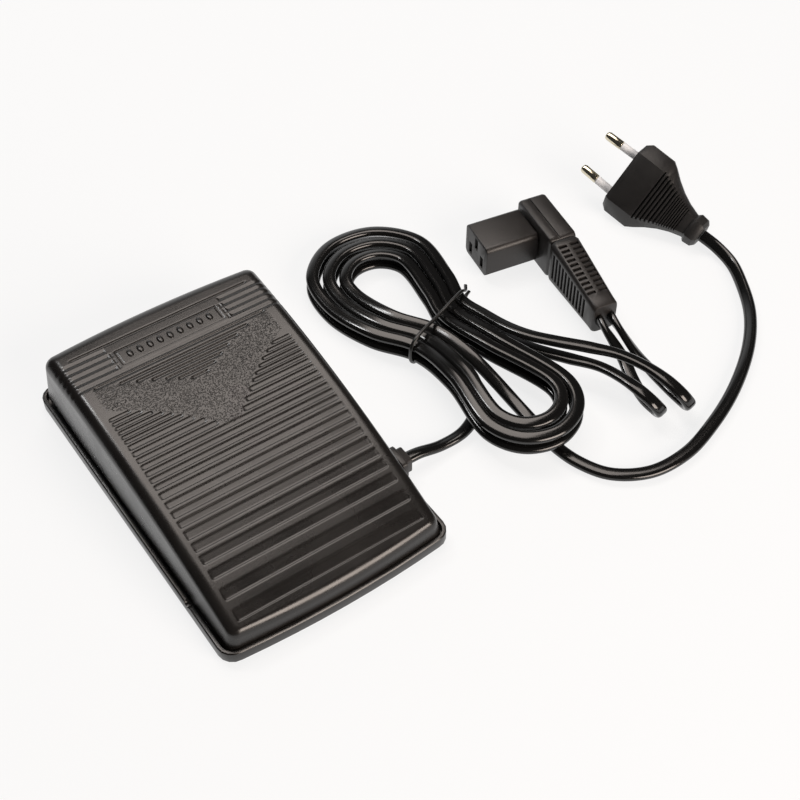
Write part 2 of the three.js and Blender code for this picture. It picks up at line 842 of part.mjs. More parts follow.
const pedalLoops = loopPoints(0);
const mainsLoops = loopPoints(1).slice(1).reverse();
const pedalCord = wholeRoute([
  ...pedalStart,
  ...pedalLoops,
  ...pedalEnd,
  connectorPoint(cordExitX[1], reliefEnd + 7, cordExitZ - 0.9),
  connectorPoint(cordExitX[1], reliefEnd, cordExitZ),
]);
const mainsCord = wholeRoute([
  connectorPoint(cordExitX[0], reliefEnd, cordExitZ),
  connectorPoint(cordExitX[0], reliefEnd + 7, cordExitZ - 0.9),
  ...mainsStart,
  ...mainsLoops,
  ...mainsEnd,
  plugBehind,
  plugSide,
]);

// The three stretches of a cord: before the hank, the hank's loops, after the hank
function cordStretches(cord, loopFrom, loopTo) {
  const gap = seatGap / cord.total;
  const first = cord.shareAt(loopFrom);
  const last = cord.shareAt(loopTo);
  return [
    new Stretch(cord.route, 0, first - gap),
    new Stretch(cord.route, first, last),
    new Stretch(cord.route, last + gap, 1),
  ];
}

const pedalParts = cordStretches(pedalCord, pedalStart.length, pedalStart.length + pedalLoops.length - 1);
const mainsParts = cordStretches(mainsCord, mainsStart.length + 2, mainsStart.length + 1 + mainsLoops.length);

function leastGap(paths) {
  const runs = paths.map((path) => path.getSpacedPoints(420));
  let least = Infinity;
  runs.forEach((run, first) => {
    runs.slice(first).forEach((other, offset) => {
      const same = offset === 0;
      const spacing = run[0].distanceTo(run[1]);
      const skip = Math.ceil((cordDiameter * 3) / spacing);
      run.forEach((point, i) => {
        for (let j = same ? i + skip : 0; j < other.length; j += 1) {
          least = Math.min(least, point.distanceTo(other[j]));
        }
      });
    });
  });
  return least - cordDiameter;
}

// ---- twist tie round the waist ----

const tieWire = 1.2;
function tiePath() {
  const centre = new THREE.Vector3(101.4, 12, 0);
  const across = new THREE.Vector3(0.94, 0.34, 0).normalize();
  const along = new THREE.Vector3(-across.y, across.x, 0);
  const corners = [
    [24.5, 9.5, 3.4],
    [20.4, 11.4, 0.9],
    [16.4, 14, 0.3],
    [0, 14.4, 0],
    [-16.4, 14, 0],
    [-19.3, 11, 0],
    [-19.3, 4, 0],
    [-16.6, 1.25, 0],
    [-9, 1.15, 0],
    [9, 1.15, 0],
    [16.6, 1.25, 0],
    [19.3, 4, 0],
    [20.2, 8.2, 0.4],
    [24.5, 7, 1.6],
  ];
  const points = corners.map(([side, up, shift]) =>
    centre.clone().addScaledVector(across, side).addScaledVector(along, shift).setZ(up),
  );
  return new THREE.CatmullRomCurve3(points, false, "centripetal");
}

// ---- small pieces inside the pedal ----

function makeGland() {
  const flange = slab(11.2, 9.4, 2.6, 1.6, 0.3, 1).rotateY(Math.PI / 2).rotateX(Math.PI / 2);
  flange.translate(glandSeat, glandY, glandZ - 0.2);
  const blockStart = glandSeat + 1.9;
  const block = slab(8.2, 7.2, glandEnd - blockStart, 1.2, 0.4, 2).rotateY(Math.PI / 2).rotateX(Math.PI / 2);
  block.translate(blockStart, glandY, glandZ);
  const under = trayFloor + seatGap;
  const neck = box(glandLip - 1, glandSeat + 0.4, glandY - 3.3, glandY + 3.3, under, glandZ + 3.2);
  const lip = box(glandTail, glandLip, glandY - 4.4, glandY + 4.4, under, glandZ + 3.4);
  return join(flange, [block, neck, lip]);
}

function straight(from, to) {
  return new THREE.LineCurve3(new THREE.Vector3(...from), new THREE.Vector3(...to));
}

function leadWire(startY, endX, endZ) {
  return new THREE.CatmullRomCurve3(
    asVectors([
      [23.6, startY, glandZ],
      [21, startY, glandZ],
      [endX + 0.8, startY + 1.5, 8.4],
      [endX, -29.5, endZ - 0.6],
      [endX, -26.5, endZ],
      [endX, terminal.y0 - seatGap, endZ],
    ]),
    false,
    "centripetal",
  );
}

const terminal = { x0: 8, x1: 20, y0: -23.4, y1: -16, z0: 9.1, z1: 17 };

function makeTerminal() {
  const { x0, x1, y0, y1, z0, z1 } = terminal;
  const wells = [11, 17].map((x) => post(1.6, x, (y0 + y1) / 2, z1 - 2.4, z1 + 1, 14));
  return join(box(x0, x1, y0, y1, z0, z1), [], wells);
}

function makeBoard() {
  const plate = box(-boardHalfX, boardHalfX, -boardHalfY, boardHalfY, boardUnder, boardTop);
  return join(plate, [], boardPosts.map(([x, y]) => post(1.5, x, y, boardUnder - 1, boardTop + 1)));
}

function makeHeatSink() {
  const foot = box(11, 29, -13.5, -4.5, boardTop + seatGap, 10.6);
  const plate = box(11, 29, -13.5, -12, 10.2, 22);
  const fins = [13, 18, 22, 27].map((x) => box(x - 0.6, x + 0.6, -15.4, -13.2, 11.5, 22));
  return join(foot, [plate, ...fins]);
}

function makeSliderBody() {
  const body = box(-8, 8, pusherY - 8, pusherY + 8, boardTop + seatGap, 17);
  const half = plungerHalf + slidingGap;
  const well = box(-half, half, pusherY - half, pusherY + half, 9.9, 18);
  return join(body, [], [well]);
}

function makePusher() {
  const plate = box(-14.5, 14.5, pusherY - 5, pusherY + 5, pusherUnder, 24 - seatGap);
  const pad = box(-3, 3, pusherY - 3, pusherY + 3, plungerTop + seatGap, 22);
  return join(plate, [pad], [-10, 10].map((x) => post(1.45, x, pusherY, 21, 25)));
}

function makeChoke() {
  const profile = [[3.4, 0], [8, 0], [8, 8], [3.4, 8], [3.4, 0]].map(([x, y]) => new THREE.Vector2(x, y));
  const core = new THREE.LatheGeometry(profile, 24).rotateX(Math.PI / 2);
  return core.translate(20, 6, boardTop + seatGap);
}

function makeClamp() {
  const [, y0] = clampPosts[0];
  const [, y1] = clampPosts[1];
  const bar = box(clampX - 2, clampX + 2, y0 - 2.4, y1 + 2.4, clampPostTop + seatGap, clampTop);
  return join(bar, [], clampPosts.map(([x, y]) => post(1.5, x, y, 8, 12)));
}

const weightTop = trayFloor + 3.3;

function makeWeight() {
  const plate = box(-34, 34, 41, 52, trayFloor + seatGap, weightTop);
  return join(plate, [], weightSpots.map(([x, y]) => post(1.5, x, y, trayFloor, weightTop + 1)));
}

// ---- assembly ----

const pedal = new THREE.Group();
pedal.name = "sewing_machine_pedal";

function addPiece(name, geometry, material) {
  if (Array.isArray(geometry)) {
    const group = new THREE.Group();
    group.name = name;
    geometry.forEach((each, i) => {
      const mesh = new THREE.Mesh(each, material);
      mesh.name = `${name}_${i + 1}`;
      group.add(mesh);
    });
    pedal.add(group);
    return;
  }
  const mesh = new THREE.Mesh(geometry, material);
  mesh.name = name;
  pedal.add(mesh);
}

addPiece("base_tray", makeTray(), basePlastic);
footSpots.forEach(([x, y], i) => {
  const foot = post(footRadius, x, y, 0, trayBottom + footDeep - seatGap / 2, 28);
  addPiece(`rubber_foot_${i + 1}`, foot, rubber);
});
addPiece("weight_plate", makeWeight(), zincSteel);
addPiece(
  "weight_screws",
  weightSpots.map(([x, y]) => screw(x, y, weightTop + seatGap, 2.6, 1.6, 1.1, 4)),
  steel,
);
addPiece("hinge_rod", barAlongX(rodRadius, -rodHalfLength, rodHalfLength, hingeY, hingeZ), steel);
addPiece("return_spring_left", makeSpring(-1), steel);
addPiece("return_spring_right", makeSpring(1), steel);
addPiece("control_board", makeBoard(), boardGreen);
addPiece(
  "board_screws",
  boardPosts.map(([x, y]) => screw(x, y, boardTop + seatGap / 2, 2.5, 1.6, 1.1, 4.6)),
  steel,
);
addPiece("heat_sink", makeHeatSink(), aluminium);
addPiece("switching_part", box(15, 25, -11.7, -7.4, 10.9, 20), epoxyBlack);
addPiece("film_capacitor", slab(17, 7, 11, 1, 0.4, 2).translate(-17, -11, boardTop + seatGap), filmYellow);
addPiece("choke", makeChoke(), ferriteGrey);
addPiece(
  "resistors",
  [-2, -6].map((y) => barAlongX(1.5, -26, -17, y + 1, boardTop + 2, 14)),
  resistorBlue,
);
addPiece("slider_body", makeSliderBody(), epoxyBlack);
addPiece("terminal_block", makeTerminal(), terminalGreen);
addPiece("lead_brown", tube(leadWire(glandY + 1.2, 17, 12.5), 1, 6, 14), leadBrown);
addPiece("lead_blue", tube(leadWire(glandY - 1.2, 11, 12.5), 1, 6, 14), leadBlue);
addPiece("cord_clamp", makeClamp(), whiteNylon);
addPiece(
  "clamp_screws",
  clampPosts.map(([x, y]) => screw(x, y, clampTop + seatGap / 2, 2.4, 1.5, 1.1, 6.5)),
  steel,
);
addPiece("cord_gland", makeGland(), mouldedPvc);
const tailRun = straight([glandTail - seatGap, glandY, glandZ], [24, glandY, glandZ]);
addPiece("cord_tail", tube(tailRun, cordDiameter / 2, 8, 2), cordPvc);

addPiece("treadle_cover", makeCover(), coverPlastic);
addPiece("pusher", makePusher(), whiteNylon);
addPiece(
  "pusher_screws",
  [-10, 10].map((x) => screw(x, -pusherY, seatGap / 2 - pusherUnder, 2.4, 1.5, 1, 6).rotateX(Math.PI)),
  steel,
);
addPiece(
  "slider_plunger",
  box(-plungerHalf, plungerHalf, pusherY - plungerHalf, pusherY + plungerHalf, 12, plungerTop),
  whiteNylon,
);

addPiece("pedal_cord_gland_end", tube(pedalParts[0], cordDiameter / 2, 8, 7), cordPvc);
addPiece("pedal_cord_hank", tube(pedalParts[1], cordDiameter / 2, 6, 100), cordPvc);
addPiece("pedal_cord_connector_end", tube(pedalParts[2], cordDiameter / 2, 8, 22), cordPvc);
addPiece("mains_cord_connector_end", tube(mainsParts[0], cordDiameter / 2, 8, 22), cordPvc);
addPiece("mains_cord_hank", tube(mainsParts[1], cordDiameter / 2, 6, 100), cordPvc);
addPiece("mains_cord_plug_end", tube(mainsParts[2], cordDiameter / 2, 8, 29), cordPvc);
addPiece("twist_tie", tube(tiePath(), tieWire / 2, 6, 44), cordPvc);

addPiece("connector_socket", makeSocket(), mouldedPvc);
addPiece("connector_contacts", makeContacts(), brassPlate);
addPiece("connector_housing", makeHousing(), mouldedPvc);
addPiece("connector_relief", makeRelief(), mouldedPvc);

addPiece("plug_body", makePlugBody(), plugPvc);
addPiece("pin_sleeves", [-1, 1].map(makeSleeve), sleevePlastic);
addPiece("plug_pins", [-1, 1].map(makePin), nickel);

console.log(`pedal cord ${pedalCord.total.toFixed(0)} mm, mains cord ${mainsCord.total.toFixed(0)} mm`);
console.log(`least gap of the hank's loops ${leastGap([pedalParts[1], mainsParts[1]]).toFixed(2)} mm`);
const leadIns = [pedalParts[0], mainsParts[0]];
console.log(`least gap of the stretches before the hank ${leastGap(leadIns).toFixed(2)} mm`);

export default pedal;
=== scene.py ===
import bpy
import bmesh
import math
import numpy as np
from mathutils import Matrix, Vector, noise


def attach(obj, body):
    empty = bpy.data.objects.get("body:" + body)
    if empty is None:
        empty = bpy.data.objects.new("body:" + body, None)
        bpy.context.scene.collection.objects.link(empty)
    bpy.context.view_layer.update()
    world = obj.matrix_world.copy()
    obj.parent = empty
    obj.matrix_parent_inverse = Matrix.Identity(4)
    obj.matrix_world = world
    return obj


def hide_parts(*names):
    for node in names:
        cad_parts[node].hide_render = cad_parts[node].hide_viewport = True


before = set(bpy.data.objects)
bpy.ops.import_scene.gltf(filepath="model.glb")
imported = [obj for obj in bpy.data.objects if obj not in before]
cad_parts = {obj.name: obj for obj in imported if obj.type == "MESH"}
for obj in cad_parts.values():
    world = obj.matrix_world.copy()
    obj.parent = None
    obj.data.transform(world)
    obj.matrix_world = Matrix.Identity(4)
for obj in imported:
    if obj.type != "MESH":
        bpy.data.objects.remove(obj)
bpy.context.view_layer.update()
mm = 0.001


def log(words):
    print("pedal:", words)


# The camera stands where the photograph was taken from; degrees, metres and a 36 mm sensor
cameraView = {
    "place": (-0.1412, -0.3116, 0.4178),
    "azimuth": -34.65,
    "elevation": 48.38,
    "lens": 64.18,
}


def makeCamera(values):
    data = bpy.data.cameras.new("studioCamera")
    data.sensor_width = 36
    data.lens = values["lens"]
    data.clip_start = 0.01
    data.clip_end = 20
    camera = bpy.data.objects.new("studioCamera", data)
    turn = math.radians(values["azimuth"])
    tilt = math.radians(values["elevation"])
    back = Vector((math.sin(turn) * math.cos(tilt), -math.cos(turn) * math.cos(tilt), math.sin(tilt)))
    camera.rotation_mode = "QUATERNION"
    camera.location = values["place"]
    camera.rotation_quaternion = (-back).to_track_quat("-Z", "Y")
    bpy.context.scene.collection.objects.link(camera)
    bpy.context.scene.camera = camera


makeCamera(cameraView)
bpy.context.scene.view_settings.view_transform = "Standard"
log("camera is in place")


def linearColour(hexColour):
    channels = [int(hexColour[i:i + 2], 16) / 255 for i in (1, 3, 5)]
    return [c / 12.92 if c <= 0.04045 else ((c + 0.055) / 1.055) ** 2.4 for c in channels] + [1]


def addNode(tree, kind, settings=None, links=None):
    # settings: attributes or input values; links: input -> output socket
    node = tree.nodes.new(kind)
    for key, value in (settings or {}).items():
        if isinstance(key, str) and hasattr(node, key):
            setattr(node, key, value)
        else:
            node.inputs[key].default_value = value
    for key, socket in (links or {}).items():
        tree.links.new(socket, node.inputs[key])
    return node


def newMaterial(name):
    material = bpy.data.materials.new(name)
    material.use_nodes = True
    tree = material.node_tree
    tree.nodes.clear()
    shader = tree.nodes.new("ShaderNodeBsdfPrincipled")
    out = tree.nodes.new("ShaderNodeOutputMaterial")
    tree.links.new(shader.outputs["BSDF"], out.inputs["Surface"])
    return material, tree, shader


def mixTwo(tree, factor, low, high):
    node = addNode(tree, "ShaderNodeMix", {"data_type": "RGBA"})
    tree.links.new(factor, node.inputs[0])
    node.inputs[6].default_value = linearColour(low)
    node.inputs[7].default_value = linearColour(high)
    return node.outputs[2]


def addNoise(tree, place, scale, detail):
    sizes = {"Scale": scale, "Detail": detail}
    return addNode(tree, "ShaderNodeTexNoise", sizes, {"Vector": place}).outputs["Fac"]


def mapRange(tree, value, low, high, fromLow=0.0, fromHigh=1.0):
    ranges = {"From Min": fromLow, "From Max": fromHigh, "To Min": low, "To Max": high}
    return addNode(tree, "ShaderNodeMapRange", ranges, {"Value": value}).outputs["Result"]


def addMaths(tree, operation, first, second):
    # first is a socket, second a socket or a number
    node = addNode(tree, "ShaderNodeMath", {"operation": operation}, {0: first})
    if isinstance(second, float):
        node.inputs[1].default_value = second
    else:
        tree.links.new(second, node.inputs[1])
    return node.outputs["Value"]


def addBump(tree, shader, height, settings, under=None):
    # under: the normal of a finer relief that this one lies on
    links = {"Height": height} if under is None else {"Height": height, "Normal": under}
    normal = addNode(tree, "ShaderNodeBump", settings, links).outputs["Normal"]
    tree.links.new(normal, shader.inputs["Normal"])
    return normal


# Noise stays mostly between these two, so a range that starts and ends there uses all of its contrast
noiseRange = (0.3, 0.7)
# Roughness goes this much below and above a material's own; the grain is this share of its size deep
mouldedLook = {"smoother": 0.04, "rougher": 0.05, "grainShare": 0.35}


# Moulded plastic: a nearly even colour, a very fine spark-eroded grain from the tool
# and slight patches of gloss where fingers and shoes have polished it.
# The tool's real grain is about 0.1 mm; it is drawn coarser, so that a picture can hold it
def mouldedPlastic(name, values):
    material, tree, shader = newMaterial(name)
    place = addNode(tree, "ShaderNodeTexCoord").outputs["Object"]
    patch = addNoise(tree, place, 1 / values["patch"], 3.0)
    grain = addNoise(tree, place, 1 / values["grain"], 2.0)
    tree.links.new(mixTwo(tree, patch, values["dark"], values["light"]), shader.inputs["Base Color"])
    low, high = values["rough"] - mouldedLook["smoother"], values["rough"] + mouldedLook["rougher"]
    tree.links.new(mapRange(tree, patch, low, high, *noiseRange), shader.inputs["Roughness"])
    deep = values["grain"] * mouldedLook["grainShare"]
    relief = addBump(tree, shader, grain, {"Strength": values["relief"], "Distance": deep})
    shader.inputs["IOR"].default_value = values["ior"]
    return material, tree, shader, relief


plasticLooks = {
    # ABS from a lightly textured tool: dark brown-black with a broad, soft shine
    "coverAbsMoulded": {
        "dark": "#151413", "light": "#1a1817", "rough": 0.27, "grain": 0.35 * mm, "patch": 18 * mm,
        "relief": 0.12, "ior": 1.53,
    },
    # the same from a plainer tool: a touch darker and duller than the cover
    "baseAbsMoulded": {
        "dark": "#141312", "light": "#191716", "rough": 0.3, "grain": 0.35 * mm, "patch": 16 * mm,
        "relief": 0.12, "ior": 1.53,
    },
    # PVC moulded on to the cords: dull skin, its lights blur away at the edges
    "connectorPvcMoulded": {
        "dark": "#191716", "light": "#1f1c1b", "rough": 0.42, "grain": 0.3 * mm, "patch": 9 * mm,
        "relief": 0.2, "ior": 1.52,
    },
    # stiffer PVC of the plug: hardly any shine, only a pale bloom along the edges
    "plugPvcMoulded": {
        "dark": "#151414", "light": "#1b1a1a", "rough": 0.46, "grain": 0.3 * mm, "patch": 8 * mm,
        "relief": 0.22, "ior": 1.52,
    },
    # rubber feet: matt, they swallow the light under the pedal
    "footRubberMoulded": {
        "dark": "#141414", "light": "#1c1c1b", "rough": 0.75, "grain": 0.5 * mm, "patch": 5 * mm,
        "relief": 0.4, "ior": 1.5,
    },
    # sleeves round the pins: clean, cool and pale against the black plug
    "pinSleevePolyamide": {
        "dark": "#dfe1e5", "light": "#eceef1", "rough": 0.42, "grain": 0.3 * mm, "patch": 3 * mm,
        "relief": 0.1, "ior": 1.5,
    },
    # plain nylon: milky off-white with a soft shine
    "nylonMoulded": {
        "dark": "#d8d5ca", "light": "#e9e6dc", "rough": 0.45, "grain": 0.4 * mm, "patch": 6 * mm,
        "relief": 0.15, "ior": 1.53,
    },
    # epoxy round the electric parts: flat grey-black with a sandy skin
    "epoxyMoulded": {
        "dark": "#141416", "light": "#1d1d20", "rough": 0.5, "grain": 0.2 * mm, "patch": 3 * mm,
        "relief": 0.3, "ior": 1.55,
    },
    # the capacitor's box: warm yellow, smooth
    "filmCapacitorBox": {
        "dark": "#cda12c", "light": "#e0b643", "rough": 0.35, "grain": 0.3 * mm, "patch": 5 * mm,
        "relief": 0.1, "ior": 1.52,
    },
    # coated ferrite: slate grey like an eggshell
    "chokeCoreCoated": {
        "dark": "#34373b", "light": "#44474c", "rough": 0.55, "grain": 0.4 * mm, "patch": 4 * mm,
        "relief": 0.4, "ior": 1.5,
    },
    # lacquered resistors: light blue, nearly glassy
    "resistorLacquer": {
        "dark": "#5594b4", "light": "#6baccc", "rough": 0.3, "grain": 0.4 * mm, "patch": 3 * mm,
        "relief": 0.15, "ior": 1.5,
    },
    # terminal block: fresh green, satin
    "terminalPolyamide": {
        "dark": "#377f45", "light": "#449552", "rough": 0.45, "grain": 0.3 * mm, "patch": 5 * mm,
        "relief": 0.15, "ior": 1.53,
    },
    # solder resist on the board: deep green with a slightly wet look
    "boardSolderResist": {
        "dark": "#28613a", "light": "#357545", "rough": 0.35, "grain": 0.6 * mm, "patch": 7 * mm,
        "relief": 0.2, "ior": 1.5,
    },
    # insulation of the leads inside: even colour, smooth as wax
    "leadPvcBrown": {
        "dark": "#5f3a20", "light": "#724727", "rough": 0.35, "grain": 0.3 * mm, "patch": 4 * mm,
        "relief": 0.1, "ior": 1.52,
    },
    "leadPvcBlue": {
        "dark": "#2a5aa0", "light": "#3567b2", "rough": 0.35, "grain": 0.3 * mm, "patch": 4 * mm,
        "relief": 0.1, "ior": 1.52,
    },
}
plastics = {name: mouldedPlastic(name, values)[0] for name, values in plasticLooks.items()}


# The tread's own copy of the cover plastic adds the V's grain where the attribute says so: small dull pits
# at their real size, which take the shine off the V and set it apart from the smooth tread
def makeTreadPlastic(values, pebble):
    material, tree, shader, fineRelief = mouldedPlastic("coverAbsTextured", values)
    place = addNode(tree, "ShaderNodeTexCoord").outputs["Object"]
    mask = addNode(tree, "ShaderNodeAttribute", {"attribute_name": "grain"}).outputs["Fac"]
    wobble = addNoise(tree, place, 1 / pebble["size"], 1.0)
    pits = addMaths(tree, "MULTIPLY", mapRange(tree, wobble, 0.0, 1.0, pebble["low"], pebble["high"]), mask)
    addBump(tree, shader, pits, {"Strength": 1.0, "Distance": pebble["deep"], "invert": True}, fineRelief)
    gloss = mapRange(tree, pits, pebble["smooth"], pebble["gloss"])
    tree.links.new(gloss, shader.inputs["Specular IOR Level"])
    return material


pebbleLook = {
    "size": 0.62 * mm, "deep": 0.08 * mm, "low": 0.52, "high": 0.62, "smooth": 0.5, "gloss": 0.34,
}
treadPlastic = makeTreadPlastic(plasticLooks["coverAbsMoulded"], pebbleLook)


sheathFinish = {"smoother": 0.05, "rougher": 0.06, "lines": 6.0, "relief": 0.25, "deep": 0.06 * mm, "ior": 1.54}


# PVC sheath drawn through a die: glossy black, with faint lines and soft waves along the lead.
# Real die lines are finer than these, which are coarse enough to break up the shine
def makeSheath(name, values):
    material, tree, shader = newMaterial(name)
    place = addNode(tree, "ShaderNodeTexCoord").outputs["UV"]
    stretch = addNode(tree, "ShaderNodeMapping", {"Scale": values["stretch"]}, {"Vector": place})
    lines = addNoise(tree, stretch.outputs["Vector"], sheathFinish["lines"], 3.0)
    waves = addNoise(tree, place, 1 / values["wave"], 2.0)
    tree.links.new(mixTwo(tree, waves, values["dark"], values["light"]), shader.inputs["Base Color"])
    low, high = values["rough"] - sheathFinish["smoother"], values["rough"] + sheathFinish["rougher"]
    tree.links.new(mapRange(tree, lines, low, high, *noiseRange), shader.inputs["Roughness"])
    addBump(tree, shader, lines, {"Strength": sheathFinish["relief"], "Distance": sheathFinish["deep"]})
    shader.inputs["IOR"].default_value = sheathFinish["ior"]
    return material


sheathLook = {
    "dark": "#0b0b0b", "light": "#111111", "rough": 0.16, "stretch": (400.0, 8.0, 1.0), "wave": 14 * mm,
}
sheath = makeSheath("cordPvcDrawn", sheathLook)
tieLook = {"dark": "#0c0c0c", "light": "#161615", "rough": 0.3, "stretch": (300.0, 20.0, 1.0), "wave": 5 * mm}
tieSheath = makeSheath("tiePvcDrawn", tieLook)


metalFinish = {"smoother": 0.08, "rougher": 0.1}


# Metals: plated or bare, with turning or rolling marks as a fine change of roughness,
# drawn at a quarter of a millimetre and more, where real marks are finer
def makeMetal(name, values):
    material, tree, shader = newMaterial(name)
    place = addNode(tree, "ShaderNodeTexCoord").outputs["Object"]
    marks = addNode(tree, "ShaderNodeMapping", {"Scale": values["marks"]}, {"Vector": place})
    lines = addNoise(tree, marks.outputs["Vector"], 1.0, 3.0)
    tree.links.new(mixTwo(tree, lines, values["dark"], values["light"]), shader.inputs["Base Color"])
    low, high = values["rough"] - metalFinish["smoother"], values["rough"] + metalFinish["rougher"]
    tree.links.new(mapRange(tree, lines, low, high), shader.inputs["Roughness"])
    shader.inputs["Metallic"].default_value = 1.0
    return material


metalLooks = {
    # zinc on turned steel: cool and light, its shine broken into short streaks
    "steelZincPlated": {"dark": "#a9adb3", "light": "#c6cacf", "rough": 0.3, "marks": (4000, 900, 900)},
    # rolled plate: greyer and duller, with marks all one way
    "weightSteelRolled": {"dark": "#9a9c99", "light": "#b3b5b1", "rough": 0.42, "marks": (300, 3000, 900)},
    # nickel on brass: warm and nearly as bright as a mirror
    "pinBrassNickelled": {"dark": "#c8bfa8", "light": "#e6dfca", "rough": 0.16, "marks": (3000, 900, 3000)},
    # stamped brass: golden, a little blurred
    "contactBrass": {"dark": "#b8935a", "light": "#d5b47c", "rough": 0.26, "marks": (2000, 600, 600)},
    # extruded aluminium: pale, with long soft lines
    "heatSinkAluminium": {"dark": "#b9bcc0", "light": "#cfd2d6", "rough": 0.4, "marks": (600, 600, 4000)},
}
metals = {name: makeMetal(name, values) for name, values in metalLooks.items()}
log("materials are made")


def newPiece(name, verts, faces, material):
    mesh = bpy.data.meshes.new(name)
    mesh.from_pydata([tuple(v) for v in verts], [], faces)
    mesh.update()
    piece = bpy.data.objects.new(name, mesh)
    bpy.context.scene.collection.objects.link(piece)
    mesh.materials.append(material)
    return piece


def smoothByAngle(piece, degrees):
    mesh = piece.data
    mesh.polygons.foreach_set("use_smooth", [True] * len(mesh.polygons))
    mesh.set_sharp_from_angle(angle=math.radians(degrees))


def applyModifiers(piece):
    graph = bpy.context.evaluated_depsgraph_get()
    made = bpy.data.meshes.new_from_object(piece.evaluated_get(graph))
    piece.modifiers.clear()
    piece.data = made
    return piece


edgeLook = {"weld": 0.002 * mm, "flat": math.radians(1.0), "sharp": math.radians(35), "smooth": 34}


# A finished copy of a CAD node: welded, its flat facets merged, its edges broken by a small bevel
def finishCopy(node, name, material, bevel, segments=2):
    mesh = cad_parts[node].data.copy()
    piece = bpy.data.objects.new(name, mesh)
    bpy.context.scene.collection.objects.link(piece)
    work = bmesh.new()
    work.from_mesh(mesh)
    bmesh.ops.remove_doubles(work, verts=work.verts, dist=edgeLook["weld"])
    bmesh.ops.dissolve_limit(work, angle_limit=edgeLook["flat"], verts=work.verts, edges=work.edges)
    work.to_mesh(mesh)
    work.free()
    mesh.materials.clear()
    mesh.materials.append(material)
    edge = piece.modifiers.new("edge", "BEVEL")
    edge.width = bevel
    edge.segments = segments
    edge.limit_method = "ANGLE"
    edge.angle_limit = edgeLook["sharp"]
    edge.use_clamp_overlap = True
    applyModifiers(piece)
    smoothByAngle(piece, edgeLook["smooth"])
    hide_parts(node)
    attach(piece, "base")
    return piece


# Both cords: millimetres, unless a value is multiplied by mm
cordLook = {
    "wide": 5.4 * mm,
    "thick": 3.2 * mm,
    "gland": (52.5, -36, 6),
    "lie": 2.75,
    "hankPitch": 5.7,
    "hankTurns": 2.45,
    # the loops rise in two steps, each (where it starts, over how far);
    # on the lower cord the second one only comes in during its first half turn
    "waistRise": 1.8,
    "waistSpan": (44, 22),
    "footRise": 5.6,
    "footSpan": (6, 26),
    "overSpan": (0.05, 0.4),
    "step": 1.1 * mm,
    "profilePoints": 24,
}
# squareness of the sheath's wide and thin sides, and the shallow groove between its two cores
profileLook = {"wide": 0.82, "thin": 0.8, "groove": 0.04, "grooveWide": 0.8 * mm, "smooth": 60, "seam": 0.6}
connectorPlace = {
    "x": 163.1, "y": 33.4, "turn": math.radians(170), "reliefEnd": 57.1, "exitZ": 9.5,
    "pedalCordX": -2.5, "mainsCordX": -7.9, "lead": 7, "leadDip": 0.9,
}
plugPlace = {
    "seat": Vector((216.9, 33.6, 17.2)),
    "yaw": math.radians(104),
    "pitch": math.radians(14.2),
    "roll": math.radians(50.5),
    "cordSpot": 42.9,
    "leads": (8, 0.3),
}


def smoothStep(t):
    x = min(max(t, 0), 1)
    return x * x * (3 - 2 * x)


def arcPoints(x, y, radius, angles):
    return [(x + radius * math.cos(math.radians(a)), y + radius * math.sin(math.radians(a))) for a in angles]


farAngles = [190, 147, 104, 61, 18]
nearAngles = [-8, -49, -90, -131, -172]
innerLoop = [
    (97.2, 10.6), (89, 25), *arcPoints(97, 48, 12.4, farAngles), (105.5, 28), (102.2, 12.4),
    (105, -10), *arcPoints(104, -40, 9.7, nearAngles), (98, -14),
]
outerLoop = [
    (84.2, 5.6), (74, 22), *arcPoints(97, 50, 28.2, farAngles), (120.6, 33), (115.8, 17),
    (119.2, -10), *arcPoints(103, -44.5, 22.6, nearAngles), (84.4, -18),
]


def loopPoints(layer, values):
    count = len(innerLoop)
    waist = values["waistRise"]
    spans = [values[key] for key in ("waistSpan", "footSpan", "overSpan")]
    (waistStart, waistLong), (footStart, footLong), (overStart, overLong) = spans
    points = []
    for step in range(2 * count + 10):
        turn = step / count
        place = (count - 1 + step) % count
        share = turn / values["hankTurns"]
        x = innerLoop[place][0] * (1 - share) + outerLoop[place][0] * share
        y = innerLoop[place][1] * (1 - share) + outerLoop[place][1] * share
        over = smoothStep((turn - overStart) / overLong) if layer == 0 else 1
        rise = waist * smoothStep((waistStart - y) / waistLong)
        rise += (values["footRise"] - waist) * smoothStep((footStart - y) / footLong) * over
        points.append((x, y, values["lie"] + rise + values["hankPitch"] * layer))
    return points


def connectorPoint(x, y, z):
    turned = Matrix.Rotation(connectorPlace["turn"], 3, "Z") @ Vector((x, y, z))
    return tuple(turned + Vector((connectorPlace["x"], connectorPlace["y"], 0)))


def plugFrame():
    yaw, pitch, roll = plugPlace["yaw"], plugPlace["pitch"], plugPlace["roll"]
    ahead = Vector((math.cos(yaw) * math.cos(pitch), math.sin(yaw) * math.cos(pitch), math.sin(pitch)))
    level = Vector((math.sin(yaw), -math.cos(yaw), 0))
    raised = level.cross(ahead)
    return level * math.cos(roll) + raised * math.sin(roll), ahead


plugAcross, plugAhead = plugFrame()


